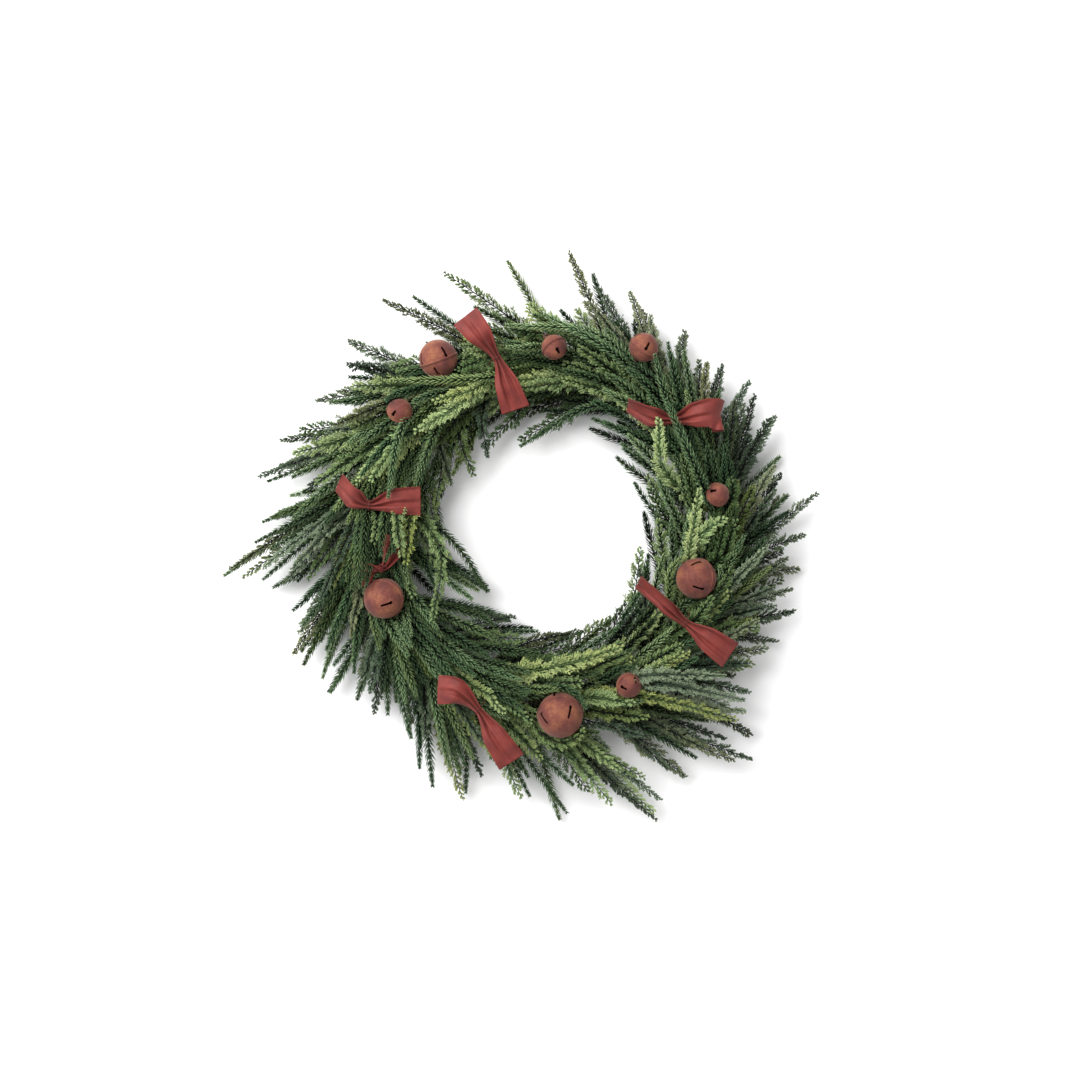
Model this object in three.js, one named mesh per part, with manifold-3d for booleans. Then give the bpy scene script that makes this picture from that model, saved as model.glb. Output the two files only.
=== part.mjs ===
// An evergreen wreath, lying on its back with its face up, in millimetres, +Z up.
//
// Eighteen bunches of pine and cedar sprays are laid round a clamp ring, each bunch's stems gripped by one clamp.
// All sprays sweep anticlockwise and outward, and each bunch covers the stems of the next. Nine rusted jingle
// bells and six pinched ribbons sit in the foliage, and each is wired down to the ring.
import * as THREE from 'three';
import { mergeVertices } from 'three/addons/utils/BufferGeometryUtils.js';
import Module from 'manifold-3d';

const wasm = await Module();
wasm.setup();

const FIT_GAP = 0.3;

// Clamp ring: a round wire hoop with sheet-steel clamps welded under it.
const RING_RADIUS = 170;
const RING_WIRE = 4.4;
const RING_STEPS = 36;
const RING_SIDES = 6;
const BUNCHES = 18;
const CLAMP_SHEET = 2;
const CLAMP_LENGTH = 10;
const CLAMP_HALF_WIDTH = 7.4;
const CLAMP_HEIGHT = 18.6;
const CLAMP_LIP = 3.8;
const WELD = 0.25;

// Stems and sprays.
const BUNDLE_RADIUS = 5;
const BUNDLE_SIDES = 6;
const BUNDLE_BACK = 13;
const BUNDLE_FRONT = 14;
const STEM_ROOT = 3;
const STEM_RADIUS = 1.5;
const TIP_RADIUS = 0.7;
const STEM_CIRCLE = 3;
const BARE_STEM = 20;
const TIP_LENGTH = 5;
const WHORL_STEP = 30;
const SPRAY_SIDES = 3;

// The two kinds of spray: how far needles or twigs reach from the stem sideways and upward, how far forward they
// lean for that reach, and the turn from each whorl to the next. Pine shoots are round brushes and cedar sprays
// are flat.
const KINDS = {
  pine: { side: 8.5, rise: 8, lean: 0.95, turn: 0.35 },
  cedar: { side: 12, rise: 5, lean: 0.8, turn: 0 },
};

// Where the two longest sprays of each bunch end, seen from the front, from the ring's centre. They make the
// wreath's ragged outline.
const OUTLINE_TIPS = [
  [[239, 71], [232, 112]],
  [[207, 146], [178, 164]],
  [[142, 198], [85, 237]],
  [[49, 253], [24, 275]],
  [[-38, 269], [-103, 256]],
  [[-133, 232], [-163, 227]],
  [[-199, 187], [-230, 126]],
  [[-268, 87], [-288, 49]],
  [[-287, 4], [-323, -50]],
  [[-275, -62], [-243, -140]],
  [[-218, -167], [-158, -190]],
  [[-138, -207], [-113, -260]],
  [[-80, -270], [-23, -274]],
  [[15, -298], [112, -296]],
  [[143, -254], [209, -235]],
  [[210, -212], [207, -167]],
  [[237, -117], [252, -85]],
  [[259, -43], [274, 33]],
];

// How near the centre the innermost spray of each bunch ends. Two reach well into the hole.
const INNER_REACH = [116, 118, 116, 90, 100, 106, 112, 108, 104, 86, 102, 106, 114, 116, 116, 108, 114, 115];

// The sprays of one bunch. Outline sprays take their ends from the lists above; the others end `ahead` degrees
// round from their clamp, `reach` from the centre. `height` is the end's height over the floor. Halfway, a spray
// has come `bow` of its way round and `lead` of its way in or out. Every second bunch is without one of them.
const FAN = [
  { ends: 'outline', tip: 0, height: 18, bow: 0.45, lead: 0.25 },
  { ends: 'outline', tip: 1, height: 34, bow: 0.45, lead: 0.3 },
  { ends: 'rule', ahead: 36, reach: 222, height: 58, bow: 0.5, lead: 0.4 },
  { ends: 'rule', ahead: 41, reach: 190, height: 74, bow: 0.5, lead: 0.5 },
  { ends: 'rule', ahead: 46, reach: 150, height: 68, bow: 0.5, lead: 0.8 },
  { ends: 'inner', ahead: 48, height: 36, bow: 0.5, lead: 0.85 },
];
const SKIPPED_SPRAY = 2;
const SPREAD = { ahead: 4, reach: 8, height: 7 };
const RISE_SHARE = 0.6;
const CEDAR_SHARE = 0.34;
const SEED = 2411;

// Settling: the sprays start on plain arcs and push one another, the bells and the ribbons apart.
const SPRAY_POINTS = 15;
const FIXED_POINTS = 2;
const SETTLING_ROUNDS = 90;
const ELBOW_ROOM = 13.5;
const SIDE_ROOM = 6.5;
const HOME_PULL = 0.02;
const SMOOTHING = 0.25;
const LOWEST_SPRAY = 9;
const SAMPLE_STEP = 3;
const NEEDLE_GAP = 0.5;

// Rusted jingle bells: place of the middle, diameter, direction of the pole that faces away from the shank eye,
// and the latitude of the slots' middles and their turn about the pole, in degrees.
const CAVITY = 0.92;
const BELL_ROWS = 6;
const BELL_SEGMENTS = 8;
const CAVITY_ROWS = 4;
const BELL_SEAM = 0.9;
const SLOT = { width: 2, length: 0.5 };
const EYE = { radius: 2.7, wire: 0.8, sides: 3, steps: 6 };
const BELLS = [
  { place: [-106, 166, 66], size: 38, pole: [-0.34, 0.93, 0.15], latitude: 18, turn: 25 },
  { place: [9, 177, 72], size: 25, pole: [0.52, -0.77, 0.38], latitude: 50, turn: 6 },
  { place: [98, 177, 70], size: 29, pole: [0.5, 0.75, 0.4], latitude: 30, turn: 45 },
  { place: [-144, 114, 72], size: 24, pole: [0.15, 0.4, 0.9], latitude: 37, turn: 22 },
  { place: [171, 31, 72], size: 23, pole: [0.49, 0.24, 0.84], latitude: 33, turn: 58 },
  { place: [150, -52, 68], size: 40, pole: [-0.82, 0.04, 0.57], latitude: 25, turn: 33 },
  { place: [-160, -72, 68], size: 40, pole: [-0.35, -0.4, 0.85], latitude: 57, turn: 79 },
  { place: [83, -158, 72], size: 25, pole: [0.43, -0.48, 0.77], latitude: 34, turn: 52 },
  { place: [15, -188, 68], size: 45, pole: [0.05, -0.7, 0.71], latitude: 30, turn: 41 },
];

// Ribbons, from one cut end through the pinch to the other: the middle of the width, the way across, and how
// much of the full width is left where the ribbon is gathered.
const RIBBON_WIDTH = 29;
const RIBBON_THICKNESS = 0.8;
const PINCH_THICKNESS = 3;
const PINCHED = 0.28;
const RIBBONS = [
  [
    { at: [-79, 207, 80], across: [0.81, 0.59, 0], wide: 1 },
    { at: [-65, 189, 86], across: [0.83, 0.55, 0.15], wide: 0.88 },
    { at: [-48, 166, 77], across: [0.88, 0.47, 0], wide: PINCHED },
    { at: [-38, 140, 86], across: [0.95, 0.3, -0.1], wide: 0.8 },
    { at: [-29, 114.5, 78], across: [0.985, 0.17, 0], wide: 1 },
  ],
  [
    { at: [-204, 42.5, 80], across: [0.5, 0.33, 0.8], wide: 1 },
    { at: [-190, 28, 85], across: [0.35, 0.75, 0.55], wide: 0.9 },
    { at: [-174, 20.5, 77], across: [0.1, 1, 0.1], wide: PINCHED },
    { at: [-149, 24, 86], across: [-0.05, 1, 0], wide: 0.85 },
    { at: [-123, 24.5, 79], across: [0.08, 1, 0], wide: 1 },
  ],
  [
    { at: [81.5, 119.5, 82], across: [0.05, 0.4, 0.9], wide: 1 },
    { at: [104, 108, 86], across: [0.1, 0.8, 0.6], wide: 0.85 },
    { at: [127, 105, 77], across: [0, 1, 0], wide: PINCHED },
    { at: [150, 107, 90], across: [0, 1, 0.1], wide: 0.9 },
    { at: [169, 108, 88], across: [0.1, 0.95, -0.3], wide: 1 },
  ],
  [
    { at: [92, -55.5, 82], across: [0.22, 0.4, 0.89], wide: 1 },
    { at: [115, -76, 87], across: [0.35, 0.5, 0.79], wide: 0.85 },
    { at: [138.5, -96, 77], across: [0.5, 0.86, 0], wide: PINCHED },
    { at: [161, -112, 86], across: [0.4, 0.9, 0.1], wide: 0.85 },
    { at: [183, -128, 79], across: [0.31, 0.95, 0], wide: 1 },
  ],
  [
    { at: [-106, -162, 78], across: [0.05, 1, 0], wide: 1 },
    { at: [-88, -163, 88], across: [0.35, 0.9, 0], wide: 0.9 },
    { at: [-66.4, -181.7, 77], across: [0.6, 0.8, 0], wide: PINCHED },
    { at: [-50, -207, 86], across: [0.75, 0.65, 0.1], wide: 0.85 },
    { at: [-33, -233.5, 79], across: [0.83, 0.55, 0], wide: 1 },
  ],
  [
    { at: [-147, -12, 76], across: [0.9, -0.3, -0.2], wide: 0.8 },
    { at: [-151, -24, 80], across: [0.9, -0.3, -0.2], wide: 0.75 },
    { at: [-159, -40, 72], across: [0.9, -0.4, 0], wide: PINCHED },
    { at: [-174, -46, 78], across: [0.3, 0.9, 0.3], wide: 0.75 },
    { at: [-186, -50, 74], across: [0.3, 0.9, 0.3], wide: 0.8 },
  ],
];
const PINCH = 2;
const RIBBON_STEPS = 8;

// Tie wires, hooked under the hoop and through a bell's eye or over a ribbon's pinch.
const TIE_WIRE = 1;
const TIE_SIDES = 3;
const TIE_ROOM = 3.8;
const HOOK_STEPS = 4;
const BELL_TIE_AHEAD = 12;
const RIBBON_TIE_AHEAD = 14.2;
const TIE_RISE = 8;
const HOOK_END = 3;

// Materials.
const RUST = new THREE.MeshStandardMaterial({ color: 0x9a5648, roughness: 0.85, metalness: 0.25 });
const STEEL = new THREE.MeshStandardMaterial({ color: 0x8d9091, roughness: 0.45, metalness: 0.9 });
const GREEN_PAINT = new THREE.MeshStandardMaterial({ color: 0x24402c, roughness: 0.5, metalness: 0.3 });
const RIBBON_CLOTH = new THREE.MeshStandardMaterial({ color: 0x8f4440, roughness: 0.8, metalness: 0 });
const FOLIAGE = new THREE.MeshStandardMaterial({ color: 0x3f5f43, roughness: 0.75, metalness: 0 });

const UP = new THREE.Vector3(0, 0, 1);
const hoopHeight = CLAMP_SHEET + (RING_WIRE / 2) * Math.cos(Math.PI / RING_SIDES) - WELD;
const bundleHeight = hoopHeight + RING_WIRE / 2 + FIT_GAP + BUNDLE_RADIUS;
// The hoop is drawn with straight steps, so its middle lies a little nearer the centre between their ends.
const hoopRadius = (angle) => {
  const step = (2 * Math.PI) / RING_STEPS;
  return (RING_RADIUS * Math.cos(step / 2)) / Math.cos(angle - Math.round(angle / step) * step);
};
const clampAngle = (bunch) => (bunch * 2 * Math.PI) / BUNCHES;
const onRing = (angle, radius, height) =>
  new THREE.Vector3(radius * Math.cos(angle), radius * Math.sin(angle), height);

// Seeded random numbers from 0 to 1.
function randomNumbers(seed) {
  let state = seed;
  return () => {
    state = (state + 0x6d2b79f5) | 0;
    let mixed = Math.imul(state ^ (state >>> 15), 1 | state);
    mixed = (mixed + Math.imul(mixed ^ (mixed >>> 7), 61 | mixed)) ^ mixed;
    return ((mixed ^ (mixed >>> 14)) >>> 0) / 4294967296;
  };
}

// A closed geometry as a solid that can be joined and cut.
function solid(geometry) {
  const bare = new THREE.BufferGeometry();
  const plain = geometry.index ? geometry.toNonIndexed() : geometry;
  bare.setAttribute('position', plain.getAttribute('position'));
  const merged = mergeVertices(bare, 1e-3);
  return new wasm.Manifold(
    new wasm.Mesh({
      numProp: 3,
      vertProperties: merged.attributes.position.array,
      triVerts: new Uint32Array(merged.index.array),
    }),
  );
}

function geometryOf(made) {
  const { vertProperties, triVerts } = made.getMesh();
  const geometry = new THREE.BufferGeometry();
  geometry.setAttribute('position', new THREE.BufferAttribute(vertProperties, 3));
  geometry.setIndex(new THREE.BufferAttribute(triVerts, 1));
  geometry.computeVertexNormals();
  return geometry;
}

function piece(name, geometry, material) {
  const mesh = new THREE.Mesh(geometry, material);
  mesh.name = name;
  return mesh;
}

// A closed skin over rings of points, each turning anticlockwise seen from the far end. Each quad is split along
// its shorter diagonal, and where `spike` gives a point for one of the triangles, that triangle is raised to it.
// `apex` closes the far end in a point.
function loft(rings, { spike = () => null, apex = null } = {}) {
  const sides = rings[0].length;
  const corners = [];
  const face = (a, b, c) => {
    const tip = spike(a, b, c);
    if (tip) corners.push(a, b, tip, b, c, tip, c, a, tip);
    else corners.push(a, b, c);
  };
  for (let ring = 0; ring + 1 < rings.length; ring++) {
    for (let side = 0; side < sides; side++) {
      const next = (side + 1) % sides;
      const [a, b, c, d] = [rings[ring][side], rings[ring][next], rings[ring + 1][next], rings[ring + 1][side]];
      if (a.distanceTo(c) < b.distanceTo(d)) {
        face(a, b, c);
        face(a, c, d);
      } else {
        face(a, b, d);
        face(b, c, d);
      }
    }
  }
  const first = rings[0];
  const last = rings[rings.length - 1];
  for (let side = 1; side + 1 < sides; side++) corners.push(first[0], first[side + 1], first[side]);
  if (apex) for (let side = 0; side < sides; side++) corners.push(last[side], last[(side + 1) % sides], apex);
  else for (let side = 1; side + 1 < sides; side++) corners.push(last[0], last[side], last[side + 1]);
  return new THREE.BufferGeometry().setFromPoints(corners);
}

// A round bar through the points. Its section starts with one edge towards `facing` and turns no more than the
// path makes it.
function bar(points, radius, sides, facing) {
  let side = facing;
  const rings = points.map((point, index) => {
    const before = points[Math.max(index - 1, 0)];
    const after = points[Math.min(index + 1, points.length - 1)];
    const along = after.clone().sub(before).normalize();
    const across = new THREE.Vector3().crossVectors(side, along).normalize();
    side = new THREE.Vector3().crossVectors(along, across);
    return Array.from({ length: sides }, (_, corner) => {
      const turn = ((corner + 0.5) * 2 * Math.PI) / sides;
      return point
        .clone()
        .addScaledVector(across, radius * Math.cos(turn))
        .addScaledVector(side, radius * Math.sin(turn));
    });
  });
  return loft(rings);
}

// The hoop with a clamp welded under it at each bunch. A clamp is a strap folded up and over the stems, and its
// flat underside is what the wreath rests on.
function clampRing() {
  const hoop = new THREE.TorusGeometry(RING_RADIUS, RING_WIRE / 2, RING_SIDES, RING_STEPS);
  hoop.rotateZ(Math.PI / RING_STEPS);
  let made = solid(hoop.translate(0, 0, hoopHeight));
  const [w, h, t] = [CLAMP_HALF_WIDTH, CLAMP_HEIGHT, CLAMP_SHEET];
  const lip = w - CLAMP_LIP;
  const strap = new THREE.Shape(
    [
      [-w, 0], [w, 0], [w, h], [lip, h], [w - t, h - t],
      [w - t, t], [t - w, t], [t - w, h - t], [-lip, h], [-w, h],
    ].map(([x, y]) => new THREE.Vector2(x, y)),
  );
  for (let bunch = 0; bunch < BUNCHES; bunch++) {
    const clamp = new THREE.ExtrudeGeometry(strap, { depth: CLAMP_LENGTH, steps: 1, bevelEnabled: false });
    clamp.translate(0, 0, -CLAMP_LENGTH / 2).rotateX(Math.PI / 2);
    clamp.translate(RING_RADIUS, 0, 0).rotateZ(clampAngle(bunch));
    made = made.add(solid(clamp));
  }
  return geometryOf(made);
}

// The way a spray would lie if nothing were near it: along the ring first, then out and up to its end. Stems stand
// round the bundle in the order of the fan, so that they don't cross where they leave it.
function plainPath(bunch, place, end) {
  const { bow, lead } = FAN[place];
  const angle = clampAngle(bunch);
  const turn = ((place + 0.5) * 2 * Math.PI) / FAN.length;
  const front = onRing(angle, RING_RADIUS + STEM_CIRCLE * Math.cos(turn), bundleHeight + STEM_CIRCLE * Math.sin(turn));
  front.addScaledVector(onRing(angle + Math.PI / 2, 1, 0), BUNDLE_FRONT);
  const ahead = Math.atan2(end.y, end.x) - angle;
  const round = Math.atan2(Math.sin(ahead), Math.cos(ahead));
  const radius = THREE.MathUtils.lerp(RING_RADIUS, Math.hypot(end.x, end.y), lead);
  const middle = onRing(angle + round * bow, radius, THREE.MathUtils.lerp(front.z, end.z, RISE_SHARE));
  return new THREE.QuadraticBezierCurve3(front, middle, end).getSpacedPoints(SPRAY_POINTS - 1);
}

// Every spray with its kind, its plain path and the points that settling moves.
function plainSprays() {
  const random = randomNumbers(SEED);
  const around = (spread) => spread * (2 * random() - 1);
  const sprays = [];
  for (let bunch = 0; bunch < BUNCHES; bunch++) {
    FAN.forEach((spray, place) => {
      if (place === SKIPPED_SPRAY && bunch % 2 === 1) return;
      const ahead = clampAngle(bunch) + THREE.MathUtils.degToRad((spray.ahead ?? 0) + around(SPREAD.ahead));
      const height = spray.height + around(SPREAD.height);
      const jitter = around(SPREAD.reach);
      const kind = random() < CEDAR_SHARE ? 'cedar' : 'pine';
      const end =
        spray.ends === 'outline'
          ? new THREE.Vector3(...OUTLINE_TIPS[bunch][spray.tip], height)
          : onRing(ahead, spray.ends === 'inner' ? INNER_REACH[bunch] : spray.reach + jitter, height);
      const home = plainPath(bunch, place, end);
      sprays.push({ bunch, place, kind: KINDS[kind], home, points: home.map((point) => point.clone()) });
    });
  }
  return sprays;
}

// Balls that stand for what the sprays have to go round: hoop, clamps, bells, ribbons and tie wires.
function hindrances(ties) {
  const balls = [];
  for (let bunch = 0; bunch < BUNCHES; bunch++) {
    const along = onRing(clampAngle(bunch) + Math.PI / 2, 1, 0);
    for (const back of [-BUNDLE_BACK, -BUNDLE_BACK / 2, 0, BUNDLE_FRONT / 2, BUNDLE_FRONT]) {
      const centre = onRing(clampAngle(bunch), RING_RADIUS, bundleHeight).addScaledVector(along, back);
      balls.push({ centre, radius: Math.abs(back) < BUNDLE_FRONT ? CLAMP_HALF_WIDTH + 2 : BUNDLE_RADIUS, bunch });
    }
  }
  for (let step = 0; step < RING_STEPS * 2; step++) {
    balls.push({ centre: onRing((step * Math.PI) / RING_STEPS, RING_RADIUS, hoopHeight), radius: RING_WIRE / 2 });
  }
  for (const { place, size, pole } of BELLS) {
    const centre = new THREE.Vector3(...place);
    const away = new THREE.Vector3(...pole).normalize().negate();
    balls.push({ centre, radius: size / 2 + BELL_SEAM });
    balls.push({ centre: centre.clone().addScaledVector(away, size / 2 + EYE.radius), radius: EYE.radius + EYE.wire });
  }
  for (const stations of RIBBONS) {
    for (const { middle, across, half } of ribbonStations(stations, RIBBON_STEPS * 4)) {
      for (const part of [-1, -0.75, -0.5, -0.25, 0, 0.25, 0.5, 0.75, 1]) {
        balls.push({ centre: middle.clone().addScaledVector(across, half * part), radius: 2.5 });
      }
    }
  }
  for (const tie of ties) {
    const run = new THREE.CurvePath();
    for (let index = 1; index < tie.length; index++) run.add(new THREE.LineCurve3(tie[index - 1], tie[index]));
    const steps = Math.ceil(run.getLength() / SAMPLE_STEP);
    for (const centre of run.getSpacedPoints(steps)) balls.push({ centre, radius: TIE_ROOM });
  }
  return balls;
}

// Pushes the sprays apart and off everything in their way, a little at a time, and keeps them smooth.
function settle(sprays, balls) {
  const gap = new THREE.Vector3();
  for (let round = 0; round < SETTLING_ROUNDS; round++) {
    const moves = sprays.map((spray) => spray.points.map(() => new THREE.Vector3()));
    sprays.forEach((spray, index) => {
      spray.points.forEach((point, step) => {
        if (step < FIXED_POINTS) return;
        for (let other = 0; other < index; other++) {
          sprays[other].points.forEach((rival, rivalStep) => {
            const room = ELBOW_ROOM * Math.min(1, (step + rivalStep) / 8);
            gap.subVectors(point, rival);
            const distance = gap.length();
            if (distance >= room || distance === 0) return;
            gap.multiplyScalar((room - distance) / distance / 2);
            moves[index][step].add(gap);
            if (rivalStep >= FIXED_POINTS) moves[other][rivalStep].sub(gap);
          });
        }
        for (const ball of balls) {
          if (ball.bunch === spray.bunch) continue;
          gap.subVectors(point, ball.centre);
          const distance = gap.length();
          const room = ball.radius + SIDE_ROOM;
          if (distance < room) moves[index][step].addScaledVector(gap, (room - distance) / distance);
        }
      });
    });
    sprays.forEach((spray, index) => {
      const { points, home } = spray;
      for (let step = FIXED_POINTS; step < points.length; step++) {
        points[step].addScaledVector(moves[index][step], 0.6);
        points[step].addScaledVector(gap.subVectors(home[step], points[step]), HOME_PULL);
        points[step].z = Math.max(points[step].z, LOWEST_SPRAY);
      }
      for (let step = FIXED_POINTS; step + 1 < points.length; step++) {
        gap.addVectors(points[step - 1], points[step + 1]).multiplyScalar(0.5).sub(points[step]);
        points[step].addScaledVector(gap, SMOOTHING);
      }
    });
  }
}

// Close samples along every settled spray, each numbered by its spray, for measuring the room round a needle.
function samplesOf(sprays) {
  return sprays.flatMap((spray, owner) => {
    const curve = new THREE.CatmullRomCurve3(spray.points);
    const steps = Math.ceil(curve.getLength() / SAMPLE_STEP);
    return curve.getSpacedPoints(steps).map((centre) => ({ centre, owner }));
  });
}

// Whether a needle of this spray may reach this point: it lies nearer its own stem than any other stem, clear of
// everything else, and over the floor.
function hasRoom(point, owner, bunch, near) {
  let own = Infinity;
  for (const sample of near.samples) if (sample.owner === owner) own = Math.min(own, point.distanceTo(sample.centre));
  if (point.z < NEEDLE_GAP) return false;
  for (const sample of near.samples) {
    if (sample.owner !== owner && point.distanceTo(sample.centre) < own + NEEDLE_GAP) return false;
  }
  return near.balls.every((ball) => ball.bunch === bunch || point.distanceTo(ball.centre) > ball.radius + NEEDLE_GAP);
}

// One spray: a slim three-sided stem with a needle raised from every triangle of its skin past the bare root. The
// three edges are a third of a step apart, so the needles stand one after another on all sides. Needles that would
// touch a neighbour are shorter.
function spraySolid(spray, owner, samples, balls) {
  const { kind, points, bunch } = spray;
  const curve = new THREE.CatmullRomCurve3(points);
  const length = curve.getLength();
  const whorls = Math.round((length - BARE_STEM) / WHORL_STEP);
  const step = (length - BARE_STEM) / (whorls + 1 - 1 / SPRAY_SIDES);
  const frameAt = (way) => {
    const point = curve.getPointAt(THREE.MathUtils.clamp(way / length, 0, 1));
    const along = curve.getTangentAt(THREE.MathUtils.clamp(way / length, 0, 1));
    const across = new THREE.Vector3().crossVectors(UP, along).normalize();
    return { point, along, across, above: new THREE.Vector3().crossVectors(along, across) };
  };
  const wayOf = new Map();
  const corner = (frame, turn, way) => {
    const core = THREE.MathUtils.lerp(STEM_RADIUS, TIP_RADIUS, way / length);
    const point = frame.point.clone().addScaledVector(frame.across, core * Math.cos(turn));
    point.addScaledVector(frame.above, core * Math.sin(turn));
    wayOf.set(point, way);
    return point;
  };
  const ringAt = (way, stagger) =>
    Array.from({ length: SPRAY_SIDES }, (_, side) => {
      const here = way + (stagger * side * step) / SPRAY_SIDES;
      return corner(frameAt(here), (side * 2 * Math.PI) / SPRAY_SIDES + (kind.turn * here) / step, here);
    });
  const root = ringAt(0, 0);
  const sunk = onRing(clampAngle(bunch) + Math.PI / 2, 1, 0).multiplyScalar(-STEM_ROOT);
  const rings = [root.map((point) => point.clone().add(sunk)), root];
  for (let whorl = 0; whorl <= whorls; whorl++) rings.push(ringAt(BARE_STEM + whorl * step, 1));
  const spike = (a, b, c) => {
    const ways = [a, b, c].map((point) => wayOf.get(point) ?? 0);
    if (Math.min(...ways) < BARE_STEM) return null;
    const way = (ways[0] + ways[1] + ways[2]) / 3;
    const done = (way - BARE_STEM) / (length - BARE_STEM);
    const { point, along, across, above } = frameAt(way);
    const outward = a.clone().add(b).add(c).divideScalar(3).sub(point);
    const swell = Math.sqrt(Math.min(1, done * 3 + 0.3) * Math.min(1, (1 - done) * 2 + 0.25));
    const side = outward.dot(across) / outward.length();
    const rise = outward.dot(above) / outward.length();
    const full = across.multiplyScalar(side * kind.side).addScaledVector(above, rise * kind.rise).multiplyScalar(swell);
    full.addScaledVector(along, full.length() * kind.lean);
    const near = {
      samples: samples.filter(({ centre }) => centre.distanceToSquared(point) < 900),
      balls: balls.filter(({ centre, radius }) => centre.distanceTo(point) < radius + 20),
    };
    for (let share = 1; share > 0.35; share *= 0.85) {
      const tip = point.clone().addScaledVector(full, share);
      const middle = point.clone().addScaledVector(full, share * 0.55);
      if (hasRoom(tip, owner, bunch, near) && hasRoom(middle, owner, bunch, near)) return tip;
    }
    return null;
  };
  const { point, along } = frameAt(length);
  return solid(loft(rings, { spike, apex: point.addScaledVector(along, TIP_LENGTH) }));
}

// One bunch: sprays whose stems are gathered in a bundle.
function bunchSolid(bunch, sprays, samples, balls) {
  const along = onRing(clampAngle(bunch) + Math.PI / 2, 1, 0);
  const middle = onRing(clampAngle(bunch), RING_RADIUS, bundleHeight);
  const ends = [-BUNDLE_BACK, BUNDLE_FRONT].map((ahead) => middle.clone().addScaledVector(along, ahead));
  let made = solid(bar(ends, BUNDLE_RADIUS, BUNDLE_SIDES, UP));
  sprays.forEach((spray, owner) => {
    if (spray.bunch === bunch) made = made.add(spraySolid(spray, owner, samples, balls));
  });
  return geometryOf(made);
}

// A ball of revolution about +Z in even rows of latitude, with an optional bead round its middle.
function roundBody(radius, rows, segments, bead = 0) {
  const profile = [];
  for (let row = 0; row <= rows; row++) {
    const latitude = -Math.PI / 2 + (row * Math.PI) / rows;
    if (bead && row * 2 === rows) {
      const rise = 0.07;
      profile.push(new THREE.Vector2(radius * Math.cos(rise), -radius * Math.sin(rise)));
      profile.push(new THREE.Vector2(radius + bead, 0));
      profile.push(new THREE.Vector2(radius * Math.cos(rise), radius * Math.sin(rise)));
      continue;
    }
    const outward = row % rows === 0 ? 0 : radius * Math.cos(latitude);
    profile.push(new THREE.Vector2(outward, radius * Math.sin(latitude)));
  }
  return new THREE.LatheGeometry(profile, segments).rotateX(Math.PI / 2);
}

// One jingle bell: two pressed cups joined in a beaded seam, with four short slots round its pole and a shank eye.
function bell({ place, size, pole, latitude, turn }) {
  const radius = size / 2;
  let made = solid(roundBody(radius, BELL_ROWS, BELL_SEGMENTS, BELL_SEAM));
  made = made.subtract(solid(roundBody(radius * CAVITY, CAVITY_ROWS, BELL_SEGMENTS)));
  for (let quarter = 0; quarter < 4; quarter++) {
    const slot = new THREE.BoxGeometry(radius, SLOT.width, SLOT.length * radius);
    slot.translate(radius, 0, 0).rotateY(-THREE.MathUtils.degToRad(latitude));
    slot.rotateZ(Math.PI / BELL_SEGMENTS + (quarter * Math.PI) / 2);
    made = made.subtract(solid(slot));
  }
  const eye = new THREE.TorusGeometry(EYE.radius, EYE.wire, EYE.sides, EYE.steps);
  eye.rotateZ(Math.PI / EYE.steps).rotateX(Math.PI / 2).translate(0, 0, -radius - EYE.radius + EYE.wire);
  made = made.add(solid(eye));
  const geometry = geometryOf(made);
  geometry.applyQuaternion(bellTurn(pole, turn));
  return geometry.translate(...place);
}

// Turns a bell's own +Z to its pole's direction, after a turn of its slots about it.
function bellTurn(pole, turn) {
  const slots = new THREE.Quaternion().setFromAxisAngle(UP, THREE.MathUtils.degToRad(turn));
  return new THREE.Quaternion().setFromUnitVectors(UP, new THREE.Vector3(...pole).normalize()).multiply(slots);
}

// The loose pellet at the bottom of a bell.
function pellet({ place, size }) {
  const radius = size * 0.09;
  const drop = (size / 2) * CAVITY * 0.8 - radius - FIT_GAP;
  return new THREE.IcosahedronGeometry(radius, 0).translate(place[0], place[1], place[2] - drop);
}

// Middle, way across and half width at even steps along a ribbon.
function ribbonStations(stations, count) {
  const middles = new THREE.CatmullRomCurve3(stations.map(({ at }) => new THREE.Vector3(...at)));
  const ways = new THREE.CatmullRomCurve3(stations.map(({ across }) => new THREE.Vector3(...across)));
  const widths = new THREE.CatmullRomCurve3(stations.map(({ wide }) => new THREE.Vector3(wide, 0, 0)));
  return Array.from({ length: count + 1 }, (_, step) => {
    const part = step / count;
    const half = (widths.getPoint(part).x * RIBBON_WIDTH) / 2;
    return { middle: middles.getPoint(part), across: ways.getPoint(part).normalize(), half };
  });
}

// One ribbon: a strip that is gathered to a thick pinch in its middle.
function ribbon(stations) {
  const steps = ribbonStations(stations, RIBBON_STEPS);
  const rings = steps.map(({ middle, across, half }, index) => {
    const before = steps[Math.max(index - 1, 0)].middle;
    const after = steps[Math.min(index + 1, steps.length - 1)].middle;
    const along = after.clone().sub(before).normalize();
    const normal = new THREE.Vector3().crossVectors(along, across).normalize();
    const gathered = 1 - Math.min(1, ((2 * half) / RIBBON_WIDTH - PINCHED) / (0.8 - PINCHED));
    const thick = THREE.MathUtils.lerp(RIBBON_THICKNESS, PINCH_THICKNESS, gathered) / 2;
    return [[1, 1], [0, 1], [-1, 1], [-1, -1], [0, -1], [1, -1]].map(([side, face]) =>
      middle.clone().addScaledVector(across, side * half).addScaledVector(normal, face * thick),
    );
  });
  return loft(rings);
}

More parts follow.
